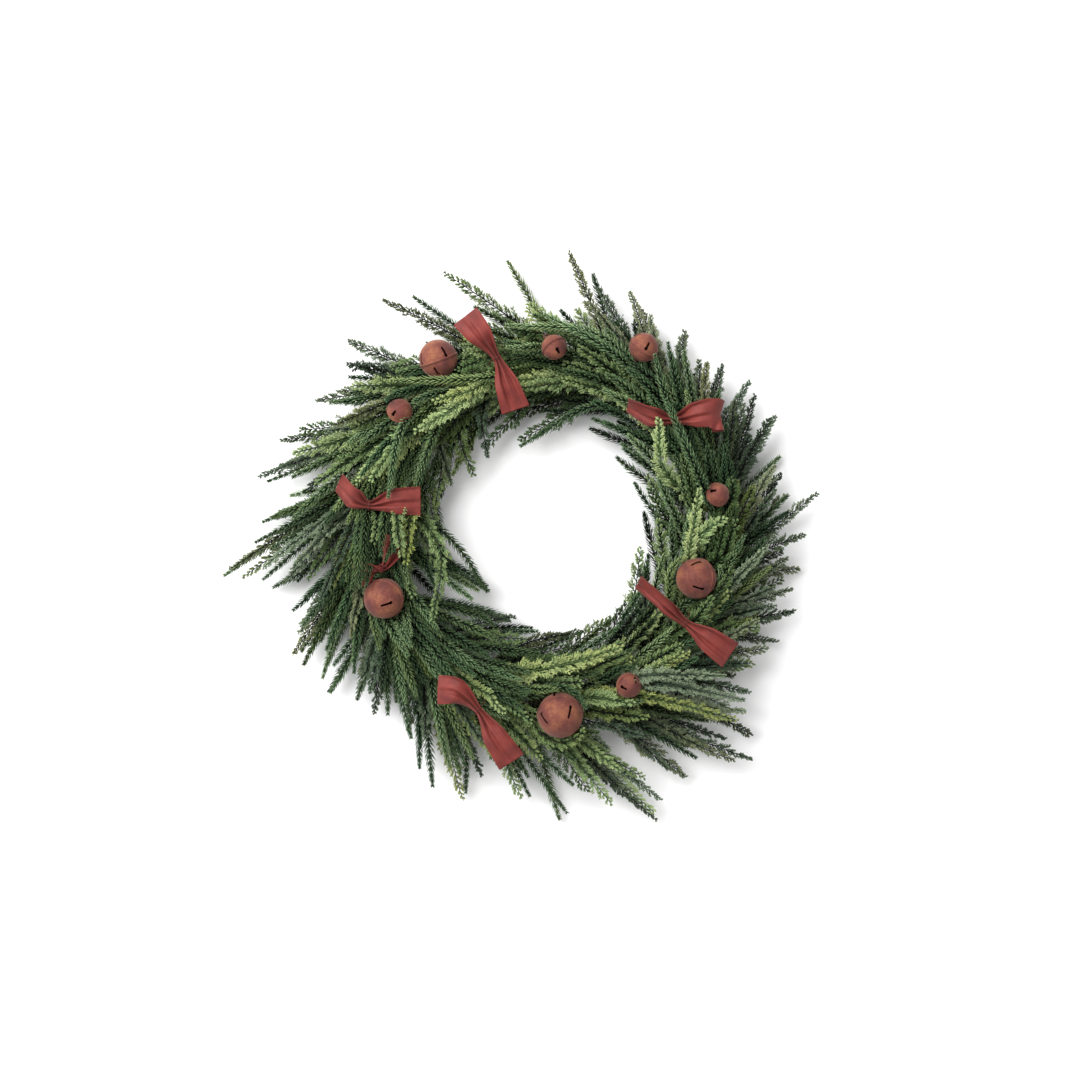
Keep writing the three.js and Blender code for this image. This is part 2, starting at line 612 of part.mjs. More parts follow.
// An arc of points about a centre, from `start` round through `top` to the far side.
function hookArc(centre, start, top, radius) {
  return Array.from({ length: HOOK_STEPS + 1 }, (_, step) => {
    const turn = (step * Math.PI) / HOOK_STEPS;
    return centre
      .clone()
      .addScaledVector(start, radius * Math.cos(turn))
      .addScaledVector(top, radius * Math.sin(turn));
  });
}

// A tie wire's path: a hook under the hoop in the nearest gap between clamps, a run up to the piece that it holds,
// and a hook there.
function tiePath(hold, aheadDegrees) {
  const pitch = clampAngle(1);
  const ahead = THREE.MathUtils.degToRad(aheadDegrees);
  const angle = Math.round((Math.atan2(hold.centre.y, hold.centre.x) - ahead) / pitch) * pitch + ahead;
  const outward = onRing(angle, 1, 0);
  const hoop = onRing(angle, hoopRadius(angle), hoopHeight);
  const foot = hookArc(hoop, outward, UP.clone().negate(), RING_WIRE / 2 + FIT_GAP + TIE_WIRE / 2);
  const near = hoop.clone().sub(hold.centre).dot(hold.start) > 0 ? hold.start : hold.start.clone().negate();
  const head = hookArc(hold.centre, near, hold.top, hold.radius);
  const tail = head.at(-1).clone().addScaledVector(hold.top, -HOOK_END);
  const knee = foot.at(-1).clone().addScaledVector(UP, TIE_RISE);
  return [...foot, knee, ...head, tail];
}

// Where a tie wire holds a bell: round the wire of its shank eye.
function eyeHold({ place, size, pole, turn }) {
  const turned = bellTurn(pole, turn);
  const top = UP.clone().applyQuaternion(turned);
  const start = new THREE.Vector3(0, 1, 0).applyQuaternion(turned);
  const drop = size / 2 + 2 * EYE.radius - EYE.wire;
  const centre = new THREE.Vector3(...place).addScaledVector(top, -drop);
  return { centre, start, top, radius: EYE.wire + FIT_GAP + TIE_WIRE / 2 };
}

// Where a tie wire holds a ribbon: over its pinch.
function pinchHold(stations) {
  const { at, across } = stations[PINCH];
  const start = new THREE.Vector3(...across).setZ(0).normalize();
  const centre = new THREE.Vector3(...at);
  return { centre, start, top: UP, radius: (PINCHED * RIBBON_WIDTH) / 2 + FIT_GAP + TIE_WIRE };
}

const wreath = new THREE.Group();
const bellTies = BELLS.map((made) => tiePath(eyeHold(made), BELL_TIE_AHEAD));
const ribbonTies = RIBBONS.map((stations) => tiePath(pinchHold(stations), RIBBON_TIE_AHEAD));
const balls = hindrances([...bellTies, ...ribbonTies]);
const sprays = plainSprays();
settle(sprays, balls);
const samples = samplesOf(sprays);
const tie = (path) => bar(path, TIE_WIRE / 2, TIE_SIDES, UP);

wreath.add(piece('clamp_ring', clampRing(), GREEN_PAINT));
for (let bunch = 0; bunch < BUNCHES; bunch++) {
  const name = `bunch_${String(bunch + 1).padStart(2, '0')}`;
  wreath.add(piece(name, bunchSolid(bunch, sprays, samples, balls), FOLIAGE));
}
BELLS.forEach((made, index) => {
  wreath.add(piece(`bell_${index + 1}`, bell(made), RUST));
  wreath.add(piece(`pellet_${index + 1}`, pellet(made), STEEL));
  wreath.add(piece(`bell_tie_${index + 1}`, tie(bellTies[index]), STEEL));
});
RIBBONS.forEach((stations, index) => {
  wreath.add(piece(`ribbon_${index + 1}`, ribbon(stations), RIBBON_CLOTH));
  wreath.add(piece(`ribbon_tie_${index + 1}`, tie(ribbonTies[index]), STEEL));
});

// The origin is under the middle of the wreath's box, on the surface that it lies on.
const box = new THREE.Box3().setFromObject(wreath, true);
const middle = box.getCenter(new THREE.Vector3());
wreath.position.set(-middle.x, -middle.y, -box.min.z);

export default wreath;
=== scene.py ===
"""Looks of an evergreen wreath with rusted jingle bells and pinched ribbons, round its construction."""

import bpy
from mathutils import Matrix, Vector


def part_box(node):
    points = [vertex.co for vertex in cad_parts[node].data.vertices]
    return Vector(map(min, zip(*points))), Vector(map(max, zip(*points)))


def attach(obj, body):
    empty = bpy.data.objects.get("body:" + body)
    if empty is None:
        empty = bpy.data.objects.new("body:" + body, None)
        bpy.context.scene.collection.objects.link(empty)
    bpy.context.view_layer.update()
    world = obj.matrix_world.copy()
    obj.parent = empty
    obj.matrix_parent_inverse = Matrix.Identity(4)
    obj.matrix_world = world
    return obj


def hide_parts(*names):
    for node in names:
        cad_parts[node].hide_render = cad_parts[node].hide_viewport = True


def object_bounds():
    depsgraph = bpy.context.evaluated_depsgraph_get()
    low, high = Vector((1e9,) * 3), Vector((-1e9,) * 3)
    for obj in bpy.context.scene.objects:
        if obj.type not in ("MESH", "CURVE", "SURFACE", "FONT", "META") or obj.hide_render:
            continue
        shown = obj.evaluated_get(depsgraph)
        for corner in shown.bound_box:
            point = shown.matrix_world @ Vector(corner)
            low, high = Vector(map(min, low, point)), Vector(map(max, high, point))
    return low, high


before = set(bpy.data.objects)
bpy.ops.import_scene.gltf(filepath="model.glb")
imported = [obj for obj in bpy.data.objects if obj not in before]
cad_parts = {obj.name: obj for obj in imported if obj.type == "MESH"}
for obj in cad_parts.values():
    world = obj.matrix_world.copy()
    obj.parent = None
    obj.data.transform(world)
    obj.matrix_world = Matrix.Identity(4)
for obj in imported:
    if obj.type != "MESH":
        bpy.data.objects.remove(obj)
CAD_BOUNDS = [list(corner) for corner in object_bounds()]

import math

import bpy
import numpy as np
from bpy.props import FloatProperty, FloatVectorProperty, PointerProperty
from mathutils import Matrix, Quaternion, Vector

bl_info = {
    "name": "Evergreen Wreath",
    "version": (1, 0, 0),
    "blender": (4, 5, 0),
    "location": "View3D > Sidebar > Wreath",
    "description": "Sprays of pine, cedar and cypress on a clamp ring, with rusted bells and pinched ribbons",
    "category": "Add Mesh",
}

# Sizes below are in millimetres from the ring's centre, as in the construction. MM turns them to metres.
MM = 0.001
UP = np.array([0.0, 0.0, 1.0])
FIT_GAP = 0.3

# Clamp ring.
RING_RADIUS = 170.0
RING_WIRE = 4.4
RING_STEPS = 36
RING_SIDES = 6
BUNCHES = 18
CLAMP_SHEET = 2.0
CLAMP_LENGTH = 10.0
CLAMP_HALF_WIDTH = 7.4
CLAMP_HEIGHT = 18.6
CLAMP_LIP = 3.8
WELD = 0.25

# Stems and sprays of the construction, which the finer sprays here follow.
BUNDLE_RADIUS = 5.0
BUNDLE_BACK = 13.0
BUNDLE_FRONT = 14.0
STEM_CIRCLE = 3.0
BARE_STEM = 20.0
OUTLINE_TIPS = [
    [(239, 71), (232, 112)], [(207, 146), (178, 164)], [(142, 198), (85, 237)],
    [(49, 253), (24, 275)], [(-38, 269), (-103, 256)], [(-133, 232), (-163, 227)],
    [(-199, 187), (-230, 126)], [(-268, 87), (-288, 49)], [(-287, 4), (-323, -50)],
    [(-275, -62), (-243, -140)], [(-218, -167), (-158, -190)], [(-138, -207), (-113, -260)],
    [(-80, -270), (-23, -274)], [(15, -298), (112, -296)], [(143, -254), (209, -235)],
    [(210, -212), (207, -167)], [(237, -117), (252, -85)], [(259, -43), (274, 33)],
]
INNER_REACH = [116, 118, 116, 90, 100, 106, 112, 108, 104, 86, 102, 106, 114, 116, 116, 108, 114, 115]
FAN = [
    dict(ends="outline", tip=0, height=18, bow=0.45, lead=0.25),
    dict(ends="outline", tip=1, height=34, bow=0.45, lead=0.3),
    dict(ends="rule", ahead=36, reach=222, height=58, bow=0.5, lead=0.4),
    dict(ends="rule", ahead=41, reach=190, height=74, bow=0.5, lead=0.5),
    dict(ends="rule", ahead=46, reach=150, height=68, bow=0.5, lead=0.8),
    dict(ends="inner", ahead=48, height=36, bow=0.5, lead=0.85),
]
SKIPPED_SPRAY = 2
SPREAD = dict(ahead=4, reach=8, height=7)
RISE_SHARE = 0.6
CEDAR_SHARE = 0.34
SEED = 2411

# Settling.
SPRAY_POINTS = 15
FIXED_POINTS = 2
SETTLING_ROUNDS = 90
ELBOW_ROOM = 13.5
SIDE_ROOM = 6.5
HOME_PULL = 0.02
SMOOTHING = 0.25
LOWEST_SPRAY = 9.0
SAMPLE_STEP = 3.0
PAIR_BATCH = 1500
LIST_MARGIN = 8.0
STEP_SHARE = 0.6
FULL_ROOM_POINTS = 8
CLAMP_ROOM = 2.0
RIBBON_ROOM = 2.5
RIBBON_BALLS = (33, 9)

# Bells.
CAVITY = 0.92
BELL_SEAM = 0.9
SLOT_WIDTH = 2.2
EYE_RADIUS = 2.7
EYE_WIRE = 0.8
BELLS = [
    dict(place=(-106, 166, 66), size=38, pole=(-0.34, 0.93, 0.15), latitude=18, turn=25, seam=-3),
    dict(place=(9, 177, 72), size=25, pole=(0.52, -0.77, 0.38), latitude=50, turn=6, seam=0),
    dict(place=(98, 177, 70), size=29, pole=(0.5, 0.75, 0.4), latitude=30, turn=45, seam=0),
    dict(place=(-144, 114, 72), size=24, pole=(0.15, 0.4, 0.9), latitude=37, turn=22, seam=0),
    dict(place=(171, 31, 72), size=23, pole=(0.49, 0.24, 0.84), latitude=33, turn=58, seam=0),
    dict(place=(150, -52, 68), size=40, pole=(-0.82, 0.04, 0.57), latitude=25, turn=33, seam=-16),
    dict(place=(-160, -72, 68), size=40, pole=(-0.35, -0.4, 0.85), latitude=57, turn=79, seam=0),
    dict(place=(83, -158, 72), size=25, pole=(0.43, -0.48, 0.77), latitude=34, turn=52, seam=0),
    dict(place=(15, -188, 68), size=45, pole=(0.05, -0.7, 0.71), latitude=30, turn=41, seam=-6),
]

# Ribbons, from one cut end through the pinch to the other.
RIBBON_WIDTH = 29.0
PINCHED = 0.28
PINCH = 2
RIBBONS = [
    [
        ((-79, 207, 80), (0.81, 0.59, 0), 1),
        ((-65, 189, 86), (0.83, 0.55, 0.15), 0.88),
        ((-48, 166, 77), (0.88, 0.47, 0), PINCHED),
        ((-38, 140, 86), (0.95, 0.3, -0.1), 0.8),
        ((-29, 114.5, 78), (0.985, 0.17, 0), 1),
    ],
    [
        ((-204, 42.5, 80), (0.5, 0.33, 0.8), 1),
        ((-190, 28, 85), (0.35, 0.75, 0.55), 0.9),
        ((-174, 20.5, 77), (0.1, 1, 0.1), PINCHED),
        ((-149, 24, 86), (-0.05, 1, 0), 0.85),
        ((-123, 24.5, 79), (0.08, 1, 0), 1),
    ],
    [
        ((81.5, 119.5, 82), (0.05, 0.4, 0.9), 1),
        ((104, 108, 86), (0.1, 0.8, 0.6), 0.85),
        ((127, 105, 77), (0, 1, 0), PINCHED),
        ((147, 109, 91), (0, 1, 0.15), 0.85),
        ((164, 111, 91), (0.05, 1, 0.1), 1),
        ((173, 108, 82), (0.05, 1, 0.2), 1),
        ((162, 105, 76), (0, 1, 0.2), 0.9),
    ],
    [
        ((92, -55.5, 82), (0.22, 0.4, 0.89), 1),
        ((115, -76, 87), (0.35, 0.5, 0.79), 0.85),
        ((138.5, -96, 77), (0.5, 0.86, 0), PINCHED),
        ((161, -112, 86), (0.4, 0.9, 0.1), 0.85),
        ((183, -128, 79), (0.31, 0.95, 0), 1),
    ],
    [
        ((-106, -162, 78), (0.05, 1, 0), 1),
        ((-88, -163, 88), (0.35, 0.9, 0), 0.9),
        ((-66.4, -181.7, 77), (0.6, 0.8, 0), PINCHED),
        ((-50, -207, 86), (0.75, 0.65, 0.1), 0.85),
        ((-33, -233.5, 79), (0.83, 0.55, 0), 1),
    ],
    [
        ((-147, -12, 76), (0.9, -0.3, -0.2), 0.8),
        ((-151, -24, 80), (0.9, -0.3, -0.2), 0.75),
        ((-159, -40, 72), (0.9, -0.4, 0), PINCHED),
        ((-174, -46, 78), (0.3, 0.9, 0.3), 0.75),
        ((-186, -50, 74), (0.3, 0.9, 0.3), 0.8),
    ],
]

# Tie wires.
TIE_WIRE = 1.0
TIE_ROOM = 3.8
HOOK_STEPS = 4
BELL_TIE_AHEAD = 12.0
RIBBON_TIE_AHEAD = 14.2
TIE_RISE = 8.0
HOOK_END = 3.0

HOOP_HEIGHT = CLAMP_SHEET + RING_WIRE / 2 * math.cos(math.pi / RING_SIDES) - WELD
BUNDLE_HEIGHT = HOOP_HEIGHT + RING_WIRE / 2 + FIT_GAP + BUNDLE_RADIUS


def ring_centre():
    """The ring's centre in the frame, in metres: the middle of the clamp ring's box, on the floor."""
    low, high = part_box("clamp_ring")
    return np.array([(low.x + high.x) / 2, (low.y + high.y) / 2, 0.0])


CENTRE = ring_centre()


# --- Small helpers --------------------------------------------------------------------------------


def linear(hex_colour):
    """A linear RGBA colour from an sRGB hex value."""
    channels = [int(hex_colour[at : at + 2], 16) / 255 for at in (1, 3, 5)]
    return [c / 12.92 if c <= 0.04045 else ((c + 0.055) / 1.055) ** 2.4 for c in channels] + [1.0]


def unit(vectors):
    """Vectors scaled to length one."""
    return vectors / np.maximum(np.linalg.norm(vectors, axis=-1, keepdims=True), 1e-9)


def mix(a, b, share):
    """What lies a share of the way from a to b."""
    return a + (b - a) * share


def on_ring(angle, radius, height):
    """A point at an angle and a distance from the ring's centre, at a height."""
    return np.array([radius * math.cos(angle), radius * math.sin(angle), height])


def millimetres(length):
    """A setting's length in millimetres, without the last digits of its storage."""
    return round(length / MM, 4)


def clamp_angle(bunch):
    """Where a bunch's clamp sits on the ring, in radians."""
    return bunch * 2 * math.pi / BUNCHES


def hoop_radius(angle):
    """The construction's hoop is drawn with straight steps, so its middle lies nearer between them."""
    step = 2 * math.pi / RING_STEPS
    return RING_RADIUS * math.cos(step / 2) / math.cos(angle - math.floor(angle / step + 0.5) * step)


def random_numbers(seed):
    """The construction's own seeded random numbers from 0 to 1."""
    mask = 0xFFFFFFFF
    state = seed

    def draw():
        nonlocal state
        state = (state + 0x6D2B79F5) & mask
        mixed = ((state ^ (state >> 15)) * (1 | state)) & mask
        mixed = ((mixed + (((mixed ^ (mixed >> 7)) * (61 | mixed)) & mask)) ^ mixed) & mask
        return ((mixed ^ (mixed >> 14)) & mask) / 2**32

    return draw


def smooth_curve(points, parts):
    """Points of a centripetal curve through the given ones, at shares of its spans from 0 to 1."""
    spans = len(points) - 1
    place = np.asarray(parts, float) * spans
    span = np.minimum(place.astype(int), spans - 1)
    share = (place - span)[:, None]
    ends = np.vstack([2 * points[0] - points[1], points, 2 * points[-1] - points[-2]])
    p0, p1, p2, p3 = (ends[span + shift] for shift in range(4))
    d0, d1, d2 = (
        ((b - a) ** 2).sum(1, keepdims=True) ** 0.25 for a, b in ((p0, p1), (p1, p2), (p2, p3))
    )
    d1 = np.where(d1 < 1e-4, 1, d1)
    d0 = np.where(d0 < 1e-4, d1, d0)
    d2 = np.where(d2 < 1e-4, d1, d2)
    t1 = ((p1 - p0) / d0 - (p2 - p0) / (d0 + d1) + (p2 - p1) / d1) * d1
    t2 = ((p2 - p1) / d1 - (p3 - p1) / (d1 + d2) + (p3 - p2) / d2) * d1
    bend = -3 * p1 + 3 * p2 - 2 * t1 - t2
    return p1 + share * (t1 + share * (bend + share * (2 * p1 - 2 * p2 + t1 + t2)))


def spaced(points, count):
    """Points at even steps of length along a line of points."""
    ways = np.concatenate([[0], np.cumsum(np.linalg.norm(np.diff(points, axis=0), axis=1))])
    wanted = np.linspace(0, ways[-1], count)
    return np.stack([np.interp(wanted, ways, points[:, axis]) for axis in range(3)], 1)


def bowed(front, middle, end, count):
    """Even points on the arc from front to end that leans towards middle."""
    t = np.linspace(0, 1, 201)[:, None]
    return spaced((1 - t) ** 2 * front + 2 * t * (1 - t) * middle + t * t * end, count)


# --- Where the sprays lie -------------------------------------------------------------------------


def plain_path(bunch, offset, spray, end):
    """A spray's way if nothing were near it: along the ring first, then out and up to its end."""
    angle = clamp_angle(bunch)
    front = on_ring(angle, RING_RADIUS + offset[0], BUNDLE_HEIGHT + offset[1])
    front = front + on_ring(angle + math.pi / 2, BUNDLE_FRONT, 0)
    ahead = math.atan2(end[1], end[0]) - angle
    round_by = math.atan2(math.sin(ahead), math.cos(ahead))
    radius = mix(RING_RADIUS, math.hypot(end[0], end[1]), spray["lead"])
    middle = on_ring(angle + round_by * spray.get("bow", 0.5), radius, mix(front[2], end[2], RISE_SHARE))
    return bowed(front, middle, end, SPRAY_POINTS)


def construction_sprays():
    """The sprays of the construction, drawn in its order."""
    random = random_numbers(SEED)

    def around(spread):
        return spread * (2 * random() - 1)

    sprays = []
    for bunch in range(BUNCHES):
        for place, spray in enumerate(FAN):
            if place == SKIPPED_SPRAY and bunch % 2 == 1:
                continue
            ahead = clamp_angle(bunch) + math.radians(spray.get("ahead", 0) + around(SPREAD["ahead"]))
            height = spray["height"] + around(SPREAD["height"])
            jitter = around(SPREAD["reach"])
            kind = "cedar" if random() < CEDAR_SHARE else "pine"
            if spray["ends"] == "outline":
                end = np.array([*OUTLINE_TIPS[bunch][spray["tip"]], height], float)
            elif spray["ends"] == "inner":
                end = on_ring(ahead, INNER_REACH[bunch], height)
            else:
                end = on_ring(ahead, spray["reach"] + jitter, height)
            turn = (place + 0.5) * 2 * math.pi / len(FAN)
            offset = (STEM_CIRCLE * math.cos(turn), STEM_CIRCLE * math.sin(turn))
            home = plain_path(bunch, offset, spray, end)
            sprays.append(dict(bunch=bunch, kind=kind, home=home))
    return sprays


# Further sprays of each bunch, which the construction leaves out, all `ahead` degrees round from their
# clamp. They end at a share of the outline's reach, at a share of the bunch's inner reach, or `reach` from
# the centre.
FILLERS = [
    dict(ahead=18, share=0.86, height=24, lead=0.3),
    dict(ahead=20, share=0.84, height=14, lead=0.3),
    dict(ahead=22, share=0.9, height=36, lead=0.3),
    dict(ahead=24, share=0.94, height=18, lead=0.3),
    dict(ahead=27, share=0.8, height=32, lead=0.3),
    dict(ahead=30, share=0.98, height=30, lead=0.3),
    dict(ahead=33, share=0.88, height=44, lead=0.35),
    dict(ahead=31, share=0.84, height=56, lead=0.35),
    dict(ahead=36, share=0.78, height=56, lead=0.4),
    dict(ahead=38, share=0.75, height=66, lead=0.4),
    dict(ahead=42, share=0.7, height=76, lead=0.5),
    dict(ahead=44, reach=187, height=80, lead=0.5),
    dict(ahead=43, reach=174, height=78, lead=0.5),
    dict(ahead=45, reach=162, height=74, lead=0.6),
    dict(ahead=44, reach=148, height=70, lead=0.75),
    dict(ahead=46, inner=1.2, height=62, lead=0.85),
    dict(ahead=42, inner=1.08, height=46, lead=0.85),
    dict(ahead=46, inner=0.98, height=22, lead=0.9),
    dict(ahead=30, reach=150, height=12, lead=0.6),
    dict(ahead=32, reach=197, height=12, lead=0.5),
    dict(ahead=36, reach=131, height=14, lead=0.8),
]
# More of the outer fringe, and how many of them each bunch has: most at the wreath's lower left, where it
# is fullest.
FRINGE_FILLERS = [
    dict(ahead=22, share=0.97, height=52, lead=0.3),
    dict(ahead=34, share=0.97, height=38, lead=0.3),
    dict(ahead=16, share=0.92, height=40, lead=0.3),
    dict(ahead=29, share=0.93, height=20, lead=0.3),
    dict(ahead=26, share=0.92, height=64, lead=0.35),
    dict(ahead=36, share=0.88, height=66, lead=0.4),
    dict(ahead=20, share=1.0, height=28, lead=0.3),
    dict(ahead=25, share=1.02, height=34, lead=0.3),
    dict(ahead=31, share=1.02, height=26, lead=0.3),
    dict(ahead=18, share=0.97, height=58, lead=0.3),
    dict(ahead=38, share=1.0, height=48, lead=0.35),
]
FRINGE_COUNTS = [3, 3, 2, 0, 0, 0, 6, 7, 10, 11, 11, 9, 3, 2, 4, 6, 7, 4]
# Bunches at the wreath's upper left, whose outline is sparse: they leave out the longest further sprays.
SPARSE_BUNCHES = (3, 4, 5)
SPARSE_SHARE = 0.87
# How much farther from the centre or nearer to it some bunches' inner sprays end.
INNER_SHIFTS = {2: 1.14, 3: 1.34, 4: 1.22, 5: 1.06, 15: 0.94, 16: 0.92, 17: 0.89, 0: 0.88, 1: 0.94}
FILLER_SPREAD = dict(ahead=4, reach=7, height=6)
FILLER_RAGGED = 0.05
FILLER_ELBOW = 8.6
FILLER_ROUNDS = 45
FILLER_SEED = 77
# Their stems lie on a spiral in the bundle: where it starts, how it widens, and its turn in radians.
SPIRAL_START = 1.2
SPIRAL_WIDENING = 3.0
SPIRAL_TURN = 2.4
# The share of cedar swings about its middle, and is largest at this side of the wreath and across from it.
CEDAR_MIDDLE = 0.32
CEDAR_SWING = 0.24
CEDAR_SIDE = math.radians(135)
WAY_POINTS = 60

# Sprays that stand out on the wreath's face: the bunch, the kind, a place on the way, the tip and the tone.
STANDOUTS = [
    (16, "cedar", (143, -24, 76), (152, 38, 92), 0.85),
    (17, "cedar", (150, -14, 78), (179, 9, 88), 0.85),
    (12, "cedar", (16, -138, 76), (78, -119, 88), 0.8),
    (2, "pine", (52, 189, 80), (-39, 198, 82), 0.75),
    (2, "pine", (66, 172, 84), (0, 208, 84), 0.7),
    (6, "pine", (-141, 97, 82), (-154, 28, 95), 0.65),
    (6, "pine", (-112, 84, 78), (-128, 42, 86), 0.6),
    (6, "cedar", (-152, 74, 78), (-172, 44, 84), 0.75),
    (14, "cedar", (112, -156, 76), (197, -172, 84), 0.75),
    (14, "cedar", (98, -148, 78), (178, -148, 82), 0.8),
    (13, "cedar", (100, -170, 70), (192, -193, 72), 0.65),
    (0, "cedar", (117, 58, 72), (112, 108, 88), 0.85),
    (0, "pine", (153, 46, 86), (118, 125, 96), 0.55),
    (2, "pine", (48, 120, 50), (-25, 80, 42), 0.5),
    (8, "pine", (-88, -20, 52), (-58, -66, 42), 0.45),
    (12, "cypress", (-20, -118, 40), (36, -106, 36), 0.3),
    (11, "cypress", (-75, -100, 42), (-30, -91, 38), 0.3),
    (15, "cypress", (101, -80, 50), (94, -42, 52), 0.2),
    (5, "cypress", (-63, 110, 46), (-57, 69, 36), 0.5),
    (5, "cedar", (-85, 95, 46), (-71, 50, 32), 0.4),
    (6, "cypress", (-105, 85, 44), (-94, 41, 34), 0.45),
    (1, "pine", (119, 128, 86), (108, 168, 92), 0.5),
    (1, "pine", (130, 138, 80), (121, 181, 86), 0.45),
    (1, "pine", (145, 128, 78), (137, 173, 84), 0.5),
    (4, "pine", (-60, 146, 78), (-152, 143, 82), 0.75),
    (8, "cedar", (-104, -24, 78), (-111, -96, 84), 0.55),
    (5, "cedar", (-78, 124, 80), (-130, 92, 86), 0.8),
    (5, "cedar", (-68, 136, 80), (-112, 122, 86), 0.75),
    (7, "pine", (-141, 4, 70), (-158, -36, 91), 0.45),
    (7, "pine", (-176, 2, 66), (-190, -62, 88), 0.5),
    (7, "pine", (-166, 0, 66), (-176, -60, 90), 0.4),
    (7, "pine", (-184, -4, 66), (-182, -62, 88), 0.45),
    (7, "pine", (-151, 6, 70), (-148, -27, 94), 0.45),
    (7, "pine", (-158, 10, 80), (-161, -28, 95), 0.4),
    (7, "cedar", (-146, 14, 82), (-141, -30, 95), 0.55),
    (7, "pine", (-176, 8, 74), (-178, -54, 92), 0.35),
    (7, "cedar", (-134, 4, 78), (-137, -38, 92), 0.55),
]


def outline_reach(angle):
    """How far the ragged outline reaches at an angle, between its tips."""
    tips = np.array([tip for pair in OUTLINE_TIPS for tip in pair], float)
    turns = np.arctan2(tips[:, 1], tips[:, 0])
    order = np.argsort(turns)
    reach = np.hypot(tips[:, 0], tips[:, 1])[order]
    return float(np.interp(angle, turns[order], reach, period=2 * math.pi))


def cedar_share(turn):
    """How much cedar there is at an angle: most at the upper left and the lower right, hardly any between."""
    return CEDAR_MIDDLE + CEDAR_SWING * math.cos(2 * (turn - CEDAR_SIDE))


def filler_sprays():
    """The further sprays of every bunch, shifted a little from their rules."""
    random = np.random.default_rng(FILLER_SEED)
    sprays = []
    for bunch in range(BUNCHES):
        for place, spray in enumerate(FILLERS + FRINGE_FILLERS[:FRINGE_COUNTS[bunch]]):
            if bunch in SPARSE_BUNCHES and spray.get("share", 0) > SPARSE_SHARE:
                continue
            shift = random.uniform(-1, 1, 3)
            ahead = clamp_angle(bunch) + math.radians(spray["ahead"] + shift[0] * FILLER_SPREAD["ahead"])
            height = spray["height"] + shift[1] * FILLER_SPREAD["height"]
            if "share" in spray:
                reach = outline_reach(ahead) * (spray["share"] - FILLER_RAGGED * random.random())
            elif "inner" in spray:
                reach = INNER_REACH[bunch] * spray["inner"] * INNER_SHIFTS.get(bunch, 1.0)
            else:
                reach = spray["reach"] + shift[2] * FILLER_SPREAD["reach"]
            among = (place + 0.5) / (len(FILLERS) + len(FRINGE_FILLERS))
            ring = SPIRAL_START + SPIRAL_WIDENING * math.sqrt(among)
            turn = place * SPIRAL_TURN
            offset = (ring * math.cos(turn), ring * math.sin(turn))
            home = plain_path(bunch, offset, spray, on_ring(ahead, reach, max(height, LOWEST_SPRAY)))
            kind = "cedar" if random.random() < cedar_share(ahead) else "pine"
            sprays.append(dict(bunch=bunch, kind=kind, home=home))
    return sprays


def standout_sprays():
    """The sprays that stand out, which go where they are told and aren't pushed aside."""
    sprays = []
    for bunch, kind, via, tip, tone in STANDOUTS:
        angle = clamp_angle(bunch)
        front = on_ring(angle, RING_RADIUS, BUNDLE_HEIGHT) + on_ring(angle + math.pi / 2, BUNDLE_FRONT, 0)
        way = smooth_curve(np.array([front, via, tip], float), np.linspace(0, 1, WAY_POINTS))
        sprays.append(dict(bunch=bunch, kind=kind, points=spaced(way, SPRAY_POINTS), tone=tone))
    return sprays


def ribbon_stations(stations, parts):
    """Middle, way across and half width at shares of a ribbon's length."""
    middles = smooth_curve(np.array([at for at, _, _ in stations], float), parts)
    ways = unit(smooth_curve(np.array([across for _, across, _ in stations], float), parts))
    widths = smooth_curve(np.array([(wide, 0, 0) for _, _, wide in stations], float), parts)[:, 0]
    return middles, ways, widths * RIBBON_WIDTH / 2


def ribbon_points():
    """Points all over the ribbons, nearer to each other than a ball is wide."""
    rows, columns = RIBBON_BALLS
    for stations in RIBBONS:
        for middle, across, half in zip(*ribbon_stations(stations, np.linspace(0, 1, rows))):
            for part in np.linspace(-1, 1, columns):
                yield middle + across * half * part


def hindrances(ties):
    """Balls that stand for what sprays go round: centres, radii and the bunch that each belongs to, or -1."""
    centres, radii, owners = [], [], []

    def put(centre, radius, bunch=-1):
        centres.append(centre)
        radii.append(radius)
        owners.append(bunch)

    for bunch in range(BUNCHES):
        along = on_ring(clamp_angle(bunch) + math.pi / 2, 1, 0)
        for back in (-BUNDLE_BACK, -BUNDLE_BACK / 2, 0, BUNDLE_FRONT / 2, BUNDLE_FRONT):
            centre = on_ring(clamp_angle(bunch), RING_RADIUS, BUNDLE_HEIGHT) + along * back
            put(centre, CLAMP_HALF_WIDTH + CLAMP_ROOM if abs(back) < BUNDLE_FRONT else BUNDLE_RADIUS, bunch)
    for step in range(RING_STEPS * 2):
        put(on_ring(step * math.pi / RING_STEPS, RING_RADIUS, HOOP_HEIGHT), RING_WIRE / 2)
    for bell in BELLS:
        centre = np.array(bell["place"], float)
        away = -unit(np.array(bell["pole"], float))
        put(centre, bell["size"] / 2 + BELL_SEAM)
        put(centre + away * (bell["size"] / 2 + EYE_RADIUS), EYE_RADIUS + EYE_WIRE)
    for point in ribbon_points():
        put(point, RIBBON_ROOM)
    for tie in ties:
        length = np.linalg.norm(np.diff(tie, axis=0), axis=1).sum()
        for centre in spaced(tie, math.ceil(length / SAMPLE_STEP) + 1):
            put(centre, TIE_ROOM)
    return np.array(centres), np.array(radii), np.array(owners)


def near_pairs(a, b, reach):
    """Index pairs of points of a and b that lie within reach of each other."""
    found = []
    for start in range(0, len(a), PAIR_BATCH):
        part = a[start : start + PAIR_BATCH]
        apart = (part**2).sum(1)[:, None] + (b**2).sum(1)[None] - 2 * part @ b.T
        rows, columns = np.nonzero(apart < reach * reach)
        found.append((rows + start, columns))
    return tuple(np.concatenate([pair[side] for pair in found]) for side in (0, 1))


